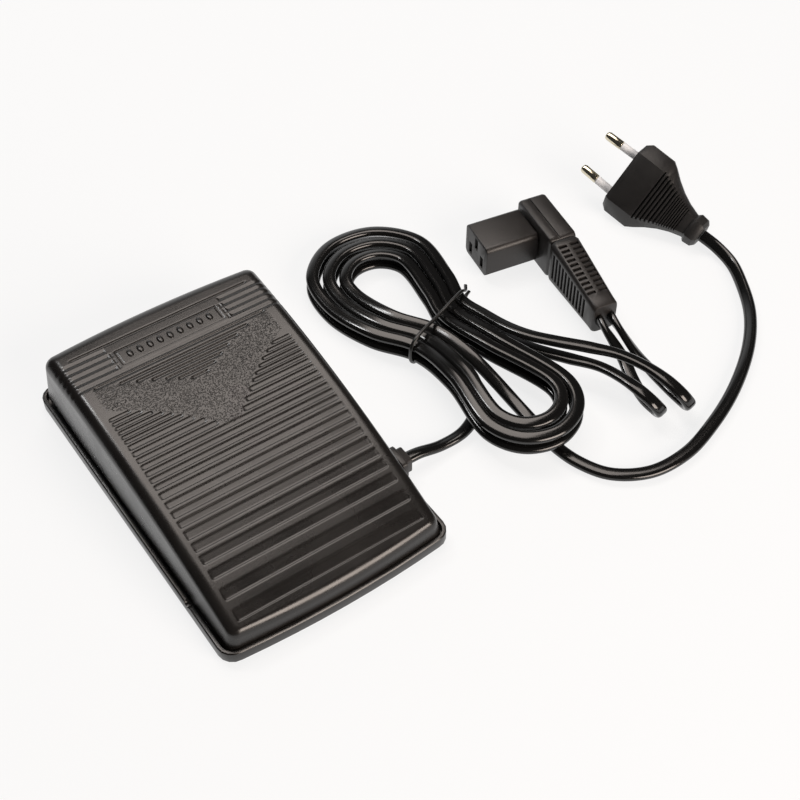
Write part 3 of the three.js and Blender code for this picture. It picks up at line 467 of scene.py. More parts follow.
# Where the cords pass, in millimetres; each mid-height is half a thickness or more above what it lies on
pedalStart = [
    (52.5, -36, 6), (57.5, -36, 5.6), (68, -36.3, 3.2), (79, -35.4, 2.75), (88.5, -30.5, 2.75),
    (95.5, -22.5, 2.75),
]
pedalEnd = [
    (118.2, 4, 5.8), (120.2, -8, 7.2), (123.4, -18, 8.6), (127.2, -26, 9.6), (131.8, -34.2, 10.6),
    (137.5, -45.1, 12.2), (139.7, -56.4, 13.8), (140.4, -65, 14.4), (141.8, -71.4, 12.6), (144.1, -73.6, 8.6),
    (146.2, -70.6, 4.4), (147, -63, 2.75), (150, -51.5, 2.75), (153.6, -41.5, 4),
]
mainsStart = [
    (159.6, -42.6, 4.2), (159.2, -54, 2.75), (158.4, -66, 2.75), (157.4, -74.4, 4.8), (155.3, -77.4, 9),
    (153.2, -75, 13.2), (151.9, -68.4, 15.2), (150.3, -59, 15.6), (145.7, -46.8, 15.6), (138.5, -37.2, 15.6),
    (130, -27, 15.4), (124, -18, 14.6), (120.4, -8, 13.2), (118.2, 4, 11.6),
]
mainsEnd = [
    (99.6, 0, 10.6), (101.2, -12, 9.6), (103, -24, 6.2), (104, -36, 3.4), (104, -48, 2.75),
    (103.5, -60.2, 2.75), (105.8, -72, 2.75), (112, -83, 2.75), (125, -90.8, 2.75), (142, -91.6, 2.75),
    (160.4, -86.4, 2.75), (180, -77.6, 2.75), (200.4, -64.2, 2.75), (214.4, -50.4, 2.75),
    (223.6, -35.8, 2.75), (228.4, -24.5, 3.2),
]
hairpinSide = Vector((-0.98, -0.2, 0))


def connectorLead(x):
    # the cord's last two points at the connector: on the way up, and in the strain relief
    end, high = connectorPlace["reliefEnd"], connectorPlace["exitZ"]
    ahead = connectorPoint(x, end + connectorPlace["lead"], high - connectorPlace["leadDip"])
    return [ahead, connectorPoint(x, end, high)]


# How a cord's wide side lies: (point, degrees up from flat, or a fixed direction)
def pedalRoute():
    loops = loopPoints(0, cordLook)
    points = [*pedalStart, *loops, *pedalEnd]
    before = len(pedalStart) + len(loops)
    points += connectorLead(connectorPlace["pedalCordX"])
    keys = [
        (0, 0), (2, 16), (4, 14), (len(pedalStart), 6), (before, 10), (before + 4, 0),
        (before + 7, hairpinSide), (before + 10, hairpinSide), (before + 12, 180), (len(points) - 3, 170),
        (len(points) - 1, 90),
    ]
    return points, keys


def mainsRoute():
    points = connectorLead(connectorPlace["mainsCordX"])[::-1]
    points += mainsStart + loopPoints(1, cordLook)[:0:-1] + mainsEnd
    spots = [-plugPlace["cordSpot"] - lead for lead in plugPlace["leads"]]
    points += [tuple(plugPlace["seat"] + plugAhead * spot) for spot in spots]
    tail = len(points) - 1
    keys = [
        (0, 90), (3, 10), (5, hairpinSide), (8, hairpinSide), (11, 180), (16, 168), (tail - 20, 168),
        (tail - 19, 160), (tail - 18, 157), (tail - 15, 157), (tail - 14, 170), (tail - 13, 180),
        (tail - 7, 180), (tail - 3, -plugAcross), (tail, -plugAcross),
    ]
    return points, keys


fineSteps = 24


# Centripetal curve through the points, then even steps along it, with the direction of the cord's wide side
def sweepPath(points, keys, step):
    pts = [Vector(p) * mm for p in points]
    pts = [pts[0] * 2 - pts[1], *pts, pts[-1] * 2 - pts[-2]]
    fine, index = [], []
    for i in range(1, len(pts) - 2):
        p0, p1, p2, p3 = pts[i - 1:i + 3]
        d0, d1, d2 = [max((b - a).length, 1e-7) ** 0.5 for a, b in ((p0, p1), (p1, p2), (p2, p3))]
        t1 = ((p1 - p0) / d0 - (p2 - p0) / (d0 + d1) + (p2 - p1) / d1) * d1
        t2 = ((p2 - p1) / d1 - (p3 - p1) / (d1 + d2) + (p3 - p2) / d2) * d1
        for k in range(fineSteps):
            u = k / fineSteps
            a = 2 * u ** 3 - 3 * u ** 2 + 1
            b = u ** 3 - 2 * u ** 2 + u
            fine.append(p1 * a + t1 * b + p2 * (1 - a) + t2 * (u ** 3 - u ** 2))
            index.append(i - 1 + u)
    fine.append(pts[-2])
    index.append(len(pts) - 3)
    fine = np.array([tuple(p) for p in fine])
    along = np.concatenate([[0], np.cumsum(np.linalg.norm(np.diff(fine, axis=0), axis=1))])
    total = along[-1]
    count = round(total / step)
    even = np.linspace(0, total, count + 1)
    path = np.stack([np.interp(even, along, fine[:, a]) for a in range(3)], 1)
    spots = np.interp(even, along, np.array(index))
    # keys hold angles up from flat, or fixed directions
    tangent = np.gradient(path, axis=0)
    side = np.stack([tangent[:, 1], -tangent[:, 0], np.zeros(len(path))], 1)
    side /= np.maximum(np.linalg.norm(side, axis=1), 1e-9)[:, None]
    angles = [(k, v) for k, v in keys if not isinstance(v, Vector)] or [(0, 0)]
    fixed = [(k, v) for k, v in keys if isinstance(v, Vector)]
    tilt = np.radians(np.interp(spots, [k for k, v in angles], [v for k, v in angles]))[:, None]
    wide = side * np.cos(tilt) + np.array([[0, 0, 1]]) * np.sin(tilt)
    if fixed:
        isFixed = [float(isinstance(v, Vector)) for k, v in keys]
        share = np.interp(spots, [k for k, v in keys], isFixed)[:, None]
        fixedSpots = [k for k, v in fixed]
        held = np.stack([np.interp(spots, fixedSpots, [v[a] for k, v in fixed]) for a in range(3)], 1)
        wide = wide * (1 - share) + held * share
    return path, wide, total, even


# Flat two-core sheath: an oval with nearly flat sides, a hint of the two cores inside
def cordProfile(values):
    profile = []
    half, thin = values["wide"] / 2, values["thick"] / 2
    for i in range(values["profilePoints"]):
        angle = 2 * math.pi * i / values["profilePoints"]
        c, s = math.cos(angle), math.sin(angle)
        w = half * math.copysign(abs(c) ** profileLook["wide"], c)
        t = thin * math.copysign(abs(s) ** profileLook["thin"], s)
        t *= 1 - profileLook["groove"] * math.exp(-((w / profileLook["grooveWide"]) ** 2))
        profile.append((w, t))
    return profile


def sweepCord(name, route, material, values):
    points, keys = route
    path, wide, total, even = sweepPath(points, keys, values["step"])
    tangent = np.gradient(path, axis=0)
    tangent /= np.linalg.norm(tangent, axis=1)[:, None]
    wide = wide - (wide * tangent).sum(1)[:, None] * tangent
    wide /= np.linalg.norm(wide, axis=1)[:, None]
    thin = np.cross(tangent, wide)
    profile = np.array(cordProfile(values))
    count = len(profile)
    rings = path[:, None, :] + wide[:, None, :] * profile[None, :, 0, None]
    rings = rings + thin[:, None, :] * profile[None, :, 1, None]
    verts = rings.reshape(-1, 3)
    faces = []
    for row in range(len(path) - 1):
        a = row * count
        for i in range(count):
            j = (i + 1) % count
            faces.append((a + i, a + j, a + count + j, a + count + i))
    faces.append(tuple(range(count))[::-1])
    last = (len(path) - 1) * count
    faces.append(tuple(last + i for i in range(count)))
    piece = newPiece(name, verts, faces, material)
    layer = piece.data.uv_layers.new(name="UVMap")
    around = np.concatenate([[0], np.cumsum(np.linalg.norm(np.diff(profile, axis=0), axis=1))])
    seam = around[-1] + values["step"] * profileLook["seam"]
    uv = []
    for row in range(len(path) - 1):
        for i in range(count):
            low, high = around[i], around[i + 1] if i + 1 < count else seam
            uv += [low, even[row], high, even[row], high, even[row + 1], low, even[row + 1]]
    uv += [0.0] * (4 * count)
    layer.data.foreach_set("uv", uv)
    smoothByAngle(piece, profileLook["smooth"])
    return piece, path, total


pedalCord, pedalPath, pedalLong = sweepCord("pedalCord", pedalRoute(), sheath, cordLook)
mainsCord, mainsPath, mainsLong = sweepCord("mainsCord", mainsRoute(), sheath, cordLook)
for piece, part in ((pedalCord, "pedal_cord"), (mainsCord, "mains_cord")):
    first = "gland_end" if part == "pedal_cord" else "connector_end"
    final = "connector_end" if part == "pedal_cord" else "plug_end"
    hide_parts(f"{part}_{first}", f"{part}_hank", f"{part}_{final}")
    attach(piece, "base")
log(f"cords are {pedalLong:.3f} m and {mainsLong:.3f} m")


# The twist tie goes once round the waist of the hank; its two ends stick out side by side at one side
tieSizes = {"centre": (101.4, 12), "across": (0.94, 0.34), "wire": 1.5 * mm, "flat": 0.72, "step": 0.6 * mm}


def tieRoute(values):
    across = Vector((*values["across"], 0)).normalized()
    along = Vector((-across.y, across.x, 0))
    centre = Vector((*values["centre"], 0))
    # (across the hank, height, along the hank)
    corners = [
        (24.5, 9.5, 3.4), (20.4, 11.4, 0.9), (16.4, 14, 0.3), (0, 14.4, 0), (-16.4, 14, 0), (-19.3, 11, 0),
        (-19.3, 4, 0), (-16.6, 1.25, 0), (-9, 1.15, 0), (9, 1.15, 0), (16.6, 1.25, 0), (19.3, 4, 0),
        (20.2, 8.2, 0.4), (24.5, 7, 1.6),
    ]
    return [tuple((centre + across * s + along * shift).xy) + (high,) for s, high, shift in corners]


def makeTie(values):
    points = tieRoute(values)
    wire = values["wire"]
    sizes = {"wide": wire, "thick": wire * values["flat"], "step": values["step"], "profilePoints": 12}
    side = Vector((-values["across"][1], values["across"][0], 0))
    route = (points, [(0, side), (len(points) - 1, side)])
    piece = sweepCord("twistTie", route, tieSheath, sizes)[0]
    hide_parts("twist_tie")
    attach(piece, "base")
    return piece


twistTie = makeTie(tieSizes)
log("twist tie is round the hank")


# The treadle cover: three plans from the foot of its skirt up to the tread, in millimetres
coverLook = {
    "skirt": {"heelX": 44.4, "toeX": 44.4, "heelY": -71.4, "toeY": 70.4, "bow": 1.9, "corner": 4.4},
    "crest": {"heelX": 42.9, "toeX": 45, "heelY": -71.1, "toeY": 61.6, "bow": 1.9, "corner": 4},
    "tread": {"heelX": 38.9, "toeX": 40.2, "heelY": -69.2, "toeY": 55.8, "bow": 1.2, "corner": 1.4},
    # heights along the pedal as curves: the tread, how far its edge is rounded down, the skirt's foot
    "top": (30.8, 0.1555, -0.00129),
    "edgeDrop": (4.6, 0.02, 0),
    "foot": (5.244, 0.014, 0),
    "wall": 2.2,
    "topWall": 2.3,
    "columnPitch": 0.55,
    "rowPitch": 0.66,
    "cornerSteps": 6,
    "roundSteps": 9,
    "firstBar": -67.3,
    # how many, pitch, width
    "barGroups": [
        (2, 8, 4.1), (1, 6, 3.4), (3, 5.05, 3.35), (4, 4.13, 2.6), (7, 3.11, 1.97), (6, 2.24, 1.33),
    ],
    "barHalf": 37.6,
    "barHeelDeep": 0.36,
    "barToeDeep": 0.26,
    # near the heel the toe side of a bar is shallower: least share, where it starts, over how far it grows
    "barShallow": (0.4, -52, 26),
    # corner in millimetres, but never more than this share of a bar's width
    "barCorner": 0.45,
    "barCornerShare": 0.35,
    "barSlope": 0.25,
    # where the tread's straight rows turn into the bowed ends, and over how far
    "heelBow": (-67.8, 1.3),
    "toeBow": (53.2, 1.2),
    # shares of the way down the wall, then (inset, lift) round the skirt's foot
    "wallSteps": (0.04, 0.12, 0.3, 0.5, 0.7, 0.88, 0.97),
    "footSteps": ((0, 0.3), (0.12, 0.08), (0.4, 0), (1.7, 0), (2.0, 0.15), (2.1, 0.6)),
    # inside: where between tread and crest its middle ring is, and the extra gaps at the crest and that ring
    "innerEdge": (0.55, 0.6, 0.4),
    # how much of the tread's pattern is gone at the bottom of its round edge
    "patternFade": 0.9,
    "smoothAngle": 75,
}


# A curve is its value in the middle, its slope and its bend
def curve(line, x):
    start, rise, bend = line
    return start + rise * x + bend * x * x


def curveReach(line, y):
    # how far from the middle a curve gets to y
    start, rise, bend = line
    return (math.sqrt(rise ** 2 + 4 * bend * (y - start)) - rise) / (2 * bend)


def mixPlans(low, high, t):
    return {key: low[key] + (high[key] - low[key]) * t for key in low}


def shrinkPlan(plan, by):
    small = dict(plan)
    small.update(
        heelX=plan["heelX"] - by, toeX=plan["toeX"] - by, heelY=plan["heelY"] + by, toeY=plan["toeY"] - by,
        corner=max(plan["corner"] - by, 1),
    )
    return small


def barEdges(values):
    # heel-side edge and width of each sunk bar
    bars, edge = [], values["firstBar"]
    for count, pitch, wide in values["barGroups"]:
        for _ in range(count):
            bars.append((edge, wide))
            edge += pitch
    return bars


# The V: its two edges as curves, the grooves inside it with deeper dots at their ends, and its grain.
# The grain is a layer of noise cut off below a level; its margin is how far it stops short and how softly
vLook = {
    "upper": (19.6, 0.62, -0.0045),
    "lower": (-5.9, 1.16, -0.0096),
    "grooves": [35.6, 32.8, 30.5, 28.2, 25.9, 23.65, 21.35],
    "grooveWide": 1.1,
    "grooveDeep": 0.42,
    "grooveSlope": 0.3,
    "firstReach": 35.6,
    "dotLong": 0.5,
    "dotDeep": 0.62,
    "gap": 0.4,
    "apex": -2.9,
    "blunt": 0.6,
    "lean": 0.8,
    "half": 36.9,
    "margin": (0.25, 0.35),
    "grainDeep": 0.07,
    "grainSize": 0.62,
    "grainLow": -0.08,
    "grainRange": 0.3,
    "grainLayer": 3.1,
}
# Soft stripes beside the panel, with short upright notches between them and the panel, whose recess has
# a thin line round it; nearer the toe a long slot
stripeLook = {
    "rows": [50.0, 46.8, 43.6, 40.4, 37.2], "wide": 1.5, "deep": 0.26, "soft": 0.7,
    "inner": 24.2, "outer": 46, "outerSoft": 1.0, "fullBelow": 38,
}
notchLook = {"rows": [46.8, 43.6, 40.4], "near": 22.9, "far": 23.4, "half": 1, "deep": 0.25, "gridEdge": 23.6}
panelLook = {
    "x": 21.4, "heel": 40.2, "toe": 47.9, "deep": 0.12, "line": 0.5, "lineDeep": 0.45, "lineSlope": 0.18,
}
longLook = {"x": 37.4, "y": 52.4, "wide": 0.8, "deep": 0.4}
# a slot's wall slopes this far to each side of its edge
slope = 0.2


def edgeMask(distance, soft=slope):
    # 1 inside, 0 outside, over a sloping wall
    t = np.clip((distance + soft) / (2 * soft), 0, 1)
    return t * t * (3 - 2 * t)


def slotDepth(x, y, xRange, middle, half, deep, soft=slope):
    inside = np.minimum(np.minimum(x - xRange[0], xRange[1] - x), half - np.abs(y - middle))
    return edgeMask(inside, soft) * deep


def grainMask(x, y):
    side = np.abs(x)
    below = (y - np.maximum(curve(vLook["lower"], side), vLook["apex"])) * vLook["lean"]
    inside = np.minimum(curve(vLook["upper"], side) - y, below)
    inside = np.minimum(inside, vLook["half"] - side)
    shrink, soft = vLook["margin"]
    return edgeMask(inside - shrink, soft)


def barStart(y):
    # how far from the middle a bar starts: beside the V, or whole below it
    if y < vLook["apex"] + vLook["blunt"]:
        return -1
    return curveReach(vLook["lower"], y) + vLook["gap"]


def barDepth(x, y, values):
    # the floor of a bar is deepest along its heel-side edge, its corners are a little round
    side = np.abs(x)
    deep = np.zeros_like(x)
    least, start, over = values["barShallow"]
    for edge, wide in barEdges(values):
        share = np.clip((y - edge) / wide, 0, 1)
        toeDeep = values["barToeDeep"] * (least + (1 - least) * smoothStep((edge - start) / over))
        floor = values["barHeelDeep"] + (toeDeep - values["barHeelDeep"]) * share
        acrossIn = wide / 2 - np.abs(y - edge - wide / 2)
        corner = min(values["barCorner"], wide * values["barCornerShare"])
        ends = np.minimum(values["barHalf"] - side, side - barStart(edge + wide / 2))
        turned = corner - np.hypot(np.maximum(corner - ends, 0), np.maximum(corner - acrossIn, 0))
        inside = np.where((ends < corner) & (acrossIn < corner), turned, np.minimum(ends, acrossIn))
        deep = np.maximum(deep, edgeMask(inside, values["barSlope"]) * floor)
    return deep


def vDepth(x, y, values):
    side = np.abs(x)
    deep = np.zeros_like(x)
    half = values["grooveWide"] / 2
    for i, row in enumerate(values["grooves"]):
        reach = curveReach(values["upper"], row) + values["gap"] if i else values["firstReach"]
        groove = slotDepth(x, y, (-reach, reach), row, half, values["grooveDeep"], values["grooveSlope"])
        dot = slotDepth(side, y, (reach - values["dotLong"], reach), row, half, values["dotDeep"])
        deep = np.maximum(deep, np.maximum(groove, dot))
    return deep


def stripeDepth(x, y, values, notch):
    side = np.abs(x)
    outer = edgeMask(values["outer"] - side, values["outerSoft"])
    deep = np.zeros_like(x)
    for row in values["rows"]:
        inner = 0 if row < values["fullBelow"] else values["inner"]
        stripe = edgeMask(np.minimum(values["wide"] / 2 - np.abs(y - row), side - inner), values["soft"])
        deep = np.maximum(deep, stripe * values["deep"] * outer)
    for row in notch["rows"]:
        upright = slotDepth(side, y, (notch["near"], notch["far"]), row, notch["half"], notch["deep"])
        deep = np.maximum(deep, upright)
    return deep


def panelDepth(x, y, values):
    # a shallow recess with a thin line round it
    middle, half = (values["heel"] + values["toe"]) / 2, (values["toe"] - values["heel"]) / 2
    inside = np.minimum(values["x"] - np.abs(x), half - np.abs(y - middle))
    line = edgeMask(values["line"] / 2 - np.abs(inside - values["line"] / 2), values["lineSlope"])
    return np.maximum(edgeMask(inside) * values["deep"], line * values["lineDeep"])


def longDepth(x, y, values):
    return slotDepth(x, y, (-values["x"], values["x"]), values["y"], values["wide"] / 2, values["deep"])


def treadDepth(x, y):
    patterns = [
        barDepth(x, y, coverLook), vDepth(x, y, vLook), stripeDepth(x, y, stripeLook, notchLook),
        panelDepth(x, y, panelLook), longDepth(x, y, longLook),
    ]
    return np.maximum.reduce(patterns)


# Grid lines stand this far beside a slot's edge, and none is closer to the one before than the least
gridLook = {"beside": (-0.26, -0.1, 0.1, 0.26), "least": 0.045, "margin": 0.3}


def lineSpots(low, high, pitch, edges):
    # grid lines from low to high: close to each slot edge, and no further apart than the pitch
    margin = gridLook["margin"]
    edges = [e for e in edges if low + margin < e < high - margin]
    spots = {round(e + s, 4) for e in edges for s in gridLook["beside"] if low < e + s < high}
    spots = sorted(spots | {low, high})
    lines = [spots[0]]
    for spot in spots[1:]:
        start = lines[-1]
        if spot - start < gridLook["least"]:
            continue
        pieces = max(1, math.ceil((spot - start) / pitch))
        lines += [start + (spot - start) * (k + 1) / pieces for k in range(pieces)]
    lines[-1] = high
    return np.array(lines)


def treadLines(values):
    tread = values["tread"]
    edges = []
    for edge, wide in barEdges(values):
        edges += [edge, edge + wide]
    slots = [(row, vLook["grooveWide"]) for row in vLook["grooves"]]
    slots += [(row, stripeLook["wide"]) for row in stripeLook["rows"]]
    slots += [(longLook["y"], longLook["wide"])]
    for row, wide in slots:
        edges += [row - wide / 2, row + wide / 2]
    edges += [panelLook["heel"], panelLook["toe"]]
    r = tread["corner"]
    low, high = tread["heelY"] + r, tread["toeY"] - r
    rows = lineSpots(low, high, values["rowPitch"], edges)
    half = tread["heelX"] - r
    sides = [values["barHalf"], panelLook["x"], notchLook["near"], notchLook["gridEdge"]]
    right = lineSpots(0, half, values["columnPitch"], sides)
    columns = np.concatenate([-right[:0:-1], right]) / half
    return (rows - low) / (high - low), columns


def planOutline(plan, rows, columns, steps):
    # points counter-clockwise from the heel end's left corner: same count for every plan
    r = plan["corner"]
    run = plan["toeY"] - plan["heelY"] - 2 * r
    heel, toe = plan["heelX"] - r, plan["toeX"] - r
    low, high = plan["heelY"] + r, plan["toeY"] - r
    widen = plan["toeX"] - plan["heelX"]
    edges = [
        [(f * heel, plan["heelY"] - plan["bow"] * (1 - f * f)) for f in columns],
        [(plan["heelX"] + widen * g, low + run * g) for g in rows],
        [(f * toe, plan["toeY"] + plan["bow"] * (1 - f * f)) for f in columns[::-1]],
        [(-plan["heelX"] - widen * g, low + run * g) for g in rows[::-1]],
    ]
    corners = [(heel, low, -90), (toe, high, 0), (-toe, high, 90), (-heel, low, 180)]
    points = []
    for edge, (x, y, first) in zip(edges, corners):
        points += edge + arcPoints(x, y, r, [first + 45 * i / steps for i in range(1, 2 * steps)])
    return np.array(points)


def gridSpot(k, lines, n):
    # for grid line k: how far it is into a corner, on which side, and its place on the straight part
    if k < n:
        return (n - k) / n, -1, lines[0]
    if k >= n + len(lines):
        return (k - n - len(lines) + 1) / n, 1, lines[-1]
    return 0.0, 0, lines[k - n]


def treadGrid(values, rows, columns):
    # x and y of the tread's grid: straight lines in the middle, its corners drawn round
    plan, n = values["tread"], values["cornerSteps"]
    r = plan["corner"]
    run = plan["toeY"] - plan["heelY"] - 2 * r
    (heelAt, heelLong), (toeAt, toeLong) = values["heelBow"], values["toeBow"]
    gridX = np.zeros((len(rows) + 2 * n, len(columns) + 2 * n))
    gridY = np.zeros_like(gridX)
    for j in range(gridX.shape[0]):
        b, end, g = gridSpot(j, rows, n)
        half = plan["heelX"] + (plan["toeX"] - plan["heelX"]) * g
        for i in range(gridX.shape[1]):
            a, side, f = gridSpot(i, columns, n)
            x, y = f * (half - r), plan["heelY"] + r + run * g
            if a and b:
                reach = max(a, b) * r
                turn = math.radians(45 * b / a if a >= b else 90 - 45 * a / b)
                x += side * reach * math.cos(turn)
                y += end * reach * math.sin(turn)
            else:
                x += side * a * r
                y += end * b * r
            bow = smoothStep((y - toeAt) / toeLong) - smoothStep((heelAt - y) / heelLong)
            gridX[j, i], gridY[j, i] = x, y + plan["bow"] * (1 - f * f) * bow
    return gridX, gridY


def coverRings(values, rows, columns):
    # rings of points: over the tread's round edge, down the wall, round the skirt's foot and up inside
    tread, crest, skirt = values["tread"], values["crest"], values["skirt"]
    n, wall = values["cornerSteps"], values["wall"]
    rings = []

    def addRing(plan, height):
        outline = planOutline(plan, rows, columns, n)
        rings.append(np.column_stack([outline, height(*outline.T)]))

    def edgeHeight(y, drop):
        return curve(values["top"], y) - curve(values["edgeDrop"], y) * drop

    for k in range(1, values["roundSteps"] + 1):
        angle = math.pi / 2 * k / values["roundSteps"]
        drop = 1 - math.cos(angle)
        fade = 1 - drop * values["patternFade"]
        plan = mixPlans(tread, crest, math.sin(angle))
        addRing(plan, lambda x, y: edgeHeight(y, drop) - treadDepth(x, y) * fade)
    crestHigh = edgeHeight(planOutline(crest, rows, columns, n)[:, 1], 1)
    for t in values["wallSteps"]:
        plan = mixPlans(crest, skirt, t)
        addRing(plan, lambda x, y: crestHigh + (curve(values["foot"], y) - crestHigh) * t)
    for inset, lift in values["footSteps"]:
        addRing(shrinkPlan(skirt, inset), lambda x, y: curve(values["foot"], y) + lift)
    share, crestGap, roundGap = values["innerEdge"]
    addRing(shrinkPlan(crest, wall), lambda x, y: edgeHeight(y, 1) - crestGap)
    for plan, gap in ((mixPlans(tread, crest, share), roundGap), (tread, 0)):
        addRing(shrinkPlan(plan, wall), lambda x, y: curve(values["top"], y) - values["topWall"] - gap)
    return rings


def makeCover(values):
    rows, columns = treadLines(values)
    n = values["cornerSteps"]
    gridX, gridY = treadGrid(values, rows, columns)
    high, wide = gridX.shape
    flatX, flatY = gridX.ravel(), gridY.ravel()
    z = curve(values["top"], flatY) - treadDepth(flatX, flatY)
    mask = grainMask(flatX, flatY)
    spots = [Vector((x, y, vLook["grainLayer"])) / vLook["grainSize"] for x, y in zip(flatX, flatY)]
    pits = np.array([noise.noise(spot) for spot in spots])
    z -= mask * np.clip((pits - vLook["grainLow"]) / vLook["grainRange"], 0, 1) * vLook["grainDeep"]
    verts = [np.stack([flatX, flatY, z], 1), *coverRings(values, rows, columns)]
    cells = [j * wide + i for j in range(high - 1) for i in range(wide - 1)]
    faces = [(a, a + 1, a + wide + 1, a + wide) for a in cells]
    # the tread's rim, in the order of the rings' points; then each ring is joined to the one before
    previous = [i for i in range(n, wide)] + [j * wide + wide - 1 for j in range(1, high)]
    previous += [(high - 1) * wide + i for i in range(wide - 2, -1, -1)]
    previous += [j * wide for j in range(high - 2, 0, -1)] + list(range(n))
    count = len(previous)
    for k in range(len(verts) - 1):
        ring = [high * wide + k * count + i for i in range(count)]
        for i in range(count):
            j = (i + 1) % count
            faces.append((previous[i], ring[i], ring[j], previous[j]))
        previous = ring
    m, arc, tall = len(columns), 2 * n - 1, len(rows)
    # underside: rungs between the two long sides, then the two ends
    rightSide = [previous[m + arc + k] for k in range(tall)]
    leftSide = [previous[2 * m + 3 * arc + 2 * tall - 1 - k] for k in range(tall)]
    for k in range(tall - 1):
        faces.append((leftSide[k], leftSide[k + 1], rightSide[k + 1], rightSide[k]))
    heelEnd = previous[2 * m + 3 * arc + 2 * tall:] + previous[:m + arc]
    toeEnd = previous[m + arc + tall:2 * m + 3 * arc + tall]
    faces.append(tuple([rightSide[0], *heelEnd[::-1], leftSide[0]]))
    faces.append(tuple([leftSide[-1], *toeEnd[::-1], rightSide[-1]]))
    allVerts = np.concatenate(verts) * mm
    piece = newPiece("treadleCover", allVerts, faces, treadPlastic)
    work = bmesh.new()
    work.from_mesh(piece.data)
    bmesh.ops.recalc_face_normals(work, faces=work.faces)
    work.to_mesh(piece.data)
    work.free()
    attribute = piece.data.attributes.new("grain", "FLOAT", "POINT")
    full = np.zeros(len(allVerts), np.float32)
    full[:len(mask)] = mask
    attribute.data.foreach_set("value", full)
    addPips(piece, pipLook)
    smoothByAngle(piece, values["smoothAngle"])
    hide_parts("treadle_cover")
    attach(piece, "treadle")
    return piece


# Plain raised pips in a row on the panel, moulded in one with the cover and sunk a little into it
pipRow, pipSunk = 44.05, 0.25
pipLook = {
    "Count": 9,
    "Pitch": 4.2 * mm,
    "Place": (0, pipRow * mm, (curve(coverLook["top"], pipRow) - pipSunk) * mm),
    "Tilt": math.atan(coverLook["top"][1] + 2 * coverLook["top"][2] * pipRow),
    "Size": (1.25 * mm, 2.1 * mm, 0.7 * mm),
}


def makePipNodes():
    tree = bpy.data.node_groups.new("panelPips", "GeometryNodeTree")
    tree.interface.new_socket("Geometry", in_out="INPUT", socket_type="NodeSocketGeometry")
    kinds = {"Count": "Int", "Pitch": "Float", "Place": "Vector", "Tilt": "Float", "Size": "Vector"}
    for key, kind in kinds.items():
        tree.interface.new_socket(key, in_out="INPUT", socket_type=f"NodeSocket{kind}")
    tree.interface.new_socket("Geometry", in_out="OUTPUT", socket_type="NodeSocketGeometry")
    given = tree.nodes.new("NodeGroupInput").outputs

    def made(kind, settings, links):
        return addNode(tree, kind, settings, links).outputs[0]

    step = made("ShaderNodeCombineXYZ", {}, {0: given["Pitch"]})
    less = made("ShaderNodeMath", {"operation": "MULTIPLY_ADD", 1: -0.5, 2: 0.5}, {0: given["Count"]})
    back = made("ShaderNodeVectorMath", {"operation": "SCALE"}, {0: step, "Scale": less})
    first = made("ShaderNodeVectorMath", {"operation": "ADD"}, {0: given["Place"], 1: back})
    places = {"Count": given["Count"], "Start Location": first, "Offset": step}
    line = made("GeometryNodeMeshLine", {"mode": "OFFSET"}, places)
    pip = made("GeometryNodeMeshUVSphere", {"Segments": 24, "Rings": 14, "Radius": 1.0}, {})
    turn = made("ShaderNodeCombineXYZ", {}, {0: given["Tilt"]})
    spread = {"Points": line, "Instance": pip, "Rotation": turn, "Scale": given["Size"]}
    row = made("GeometryNodeInstanceOnPoints", {}, spread)
    joined = addNode(tree, "GeometryNodeJoinGeometry")
    for part in (row, given["Geometry"]):
        tree.links.new(part, joined.inputs[0])
    real = made("GeometryNodeRealizeInstances", {}, {0: joined.outputs[0]})
    dressed = made("GeometryNodeSetMaterial", {"Material": treadPlastic}, {"Geometry": real})
    tree.links.new(dressed, tree.nodes.new("NodeGroupOutput").inputs[0])
    return tree


def addPips(piece, values):
    row = piece.modifiers.new("pips", "NODES")
    row.node_group = makePipNodes()
    for socket in row.node_group.interface.items_tree:
        if socket.in_out == "INPUT" and socket.name in values:
            row[socket.identifier] = values[socket.name]
    applyModifiers(piece)


cover = makeCover(coverLook)
log(f"treadle cover has {len(cover.data.polygons)} faces")


# Base, gland, feet, connector and plug: the solids with their edges broken
cordPlastic = plastics["connectorPvcMoulded"]
finishCopy("base_tray", "baseShell", plastics["baseAbsMoulded"], 0.25 * mm)
gland = finishCopy("cord_gland", "cordGland", cordPlastic, 0.25 * mm)
for i in range(1, 5):
    finishCopy(f"rubber_foot_{i}", f"foot{i}", plastics["footRubberMoulded"], 0.4 * mm, 3)
socketPiece = finishCopy("connector_socket", "connectorSocket", cordPlastic, 0.3 * mm)
housingPiece = finishCopy("connector_housing", "connectorHousing", cordPlastic, 0.2 * mm)
reliefPiece = finishCopy("connector_relief", "connectorRelief", cordPlastic, 0.25 * mm)
plugPiece = finishCopy("plug_body", "plugBody", plastics["plugPvcMoulded"], 0.3 * mm)
sleeveLook, pinLook = plastics["pinSleevePolyamide"], metals["pinBrassNickelled"]
sleeves = [finishCopy(f"pin_sleeves_{i}", f"pinSleeve{i}", sleeveLook, 0.15 * mm) for i in (1, 2)]
pins = [finishCopy(f"plug_pins_{i}", f"plugPin{i}", pinLook, 0.1 * mm) for i in (1, 2)]
finishCopy("hinge_rod", "hingeRod", metals["steelZincPlated"], 0.3 * mm)
log("base, connector and plug have their broken edges")

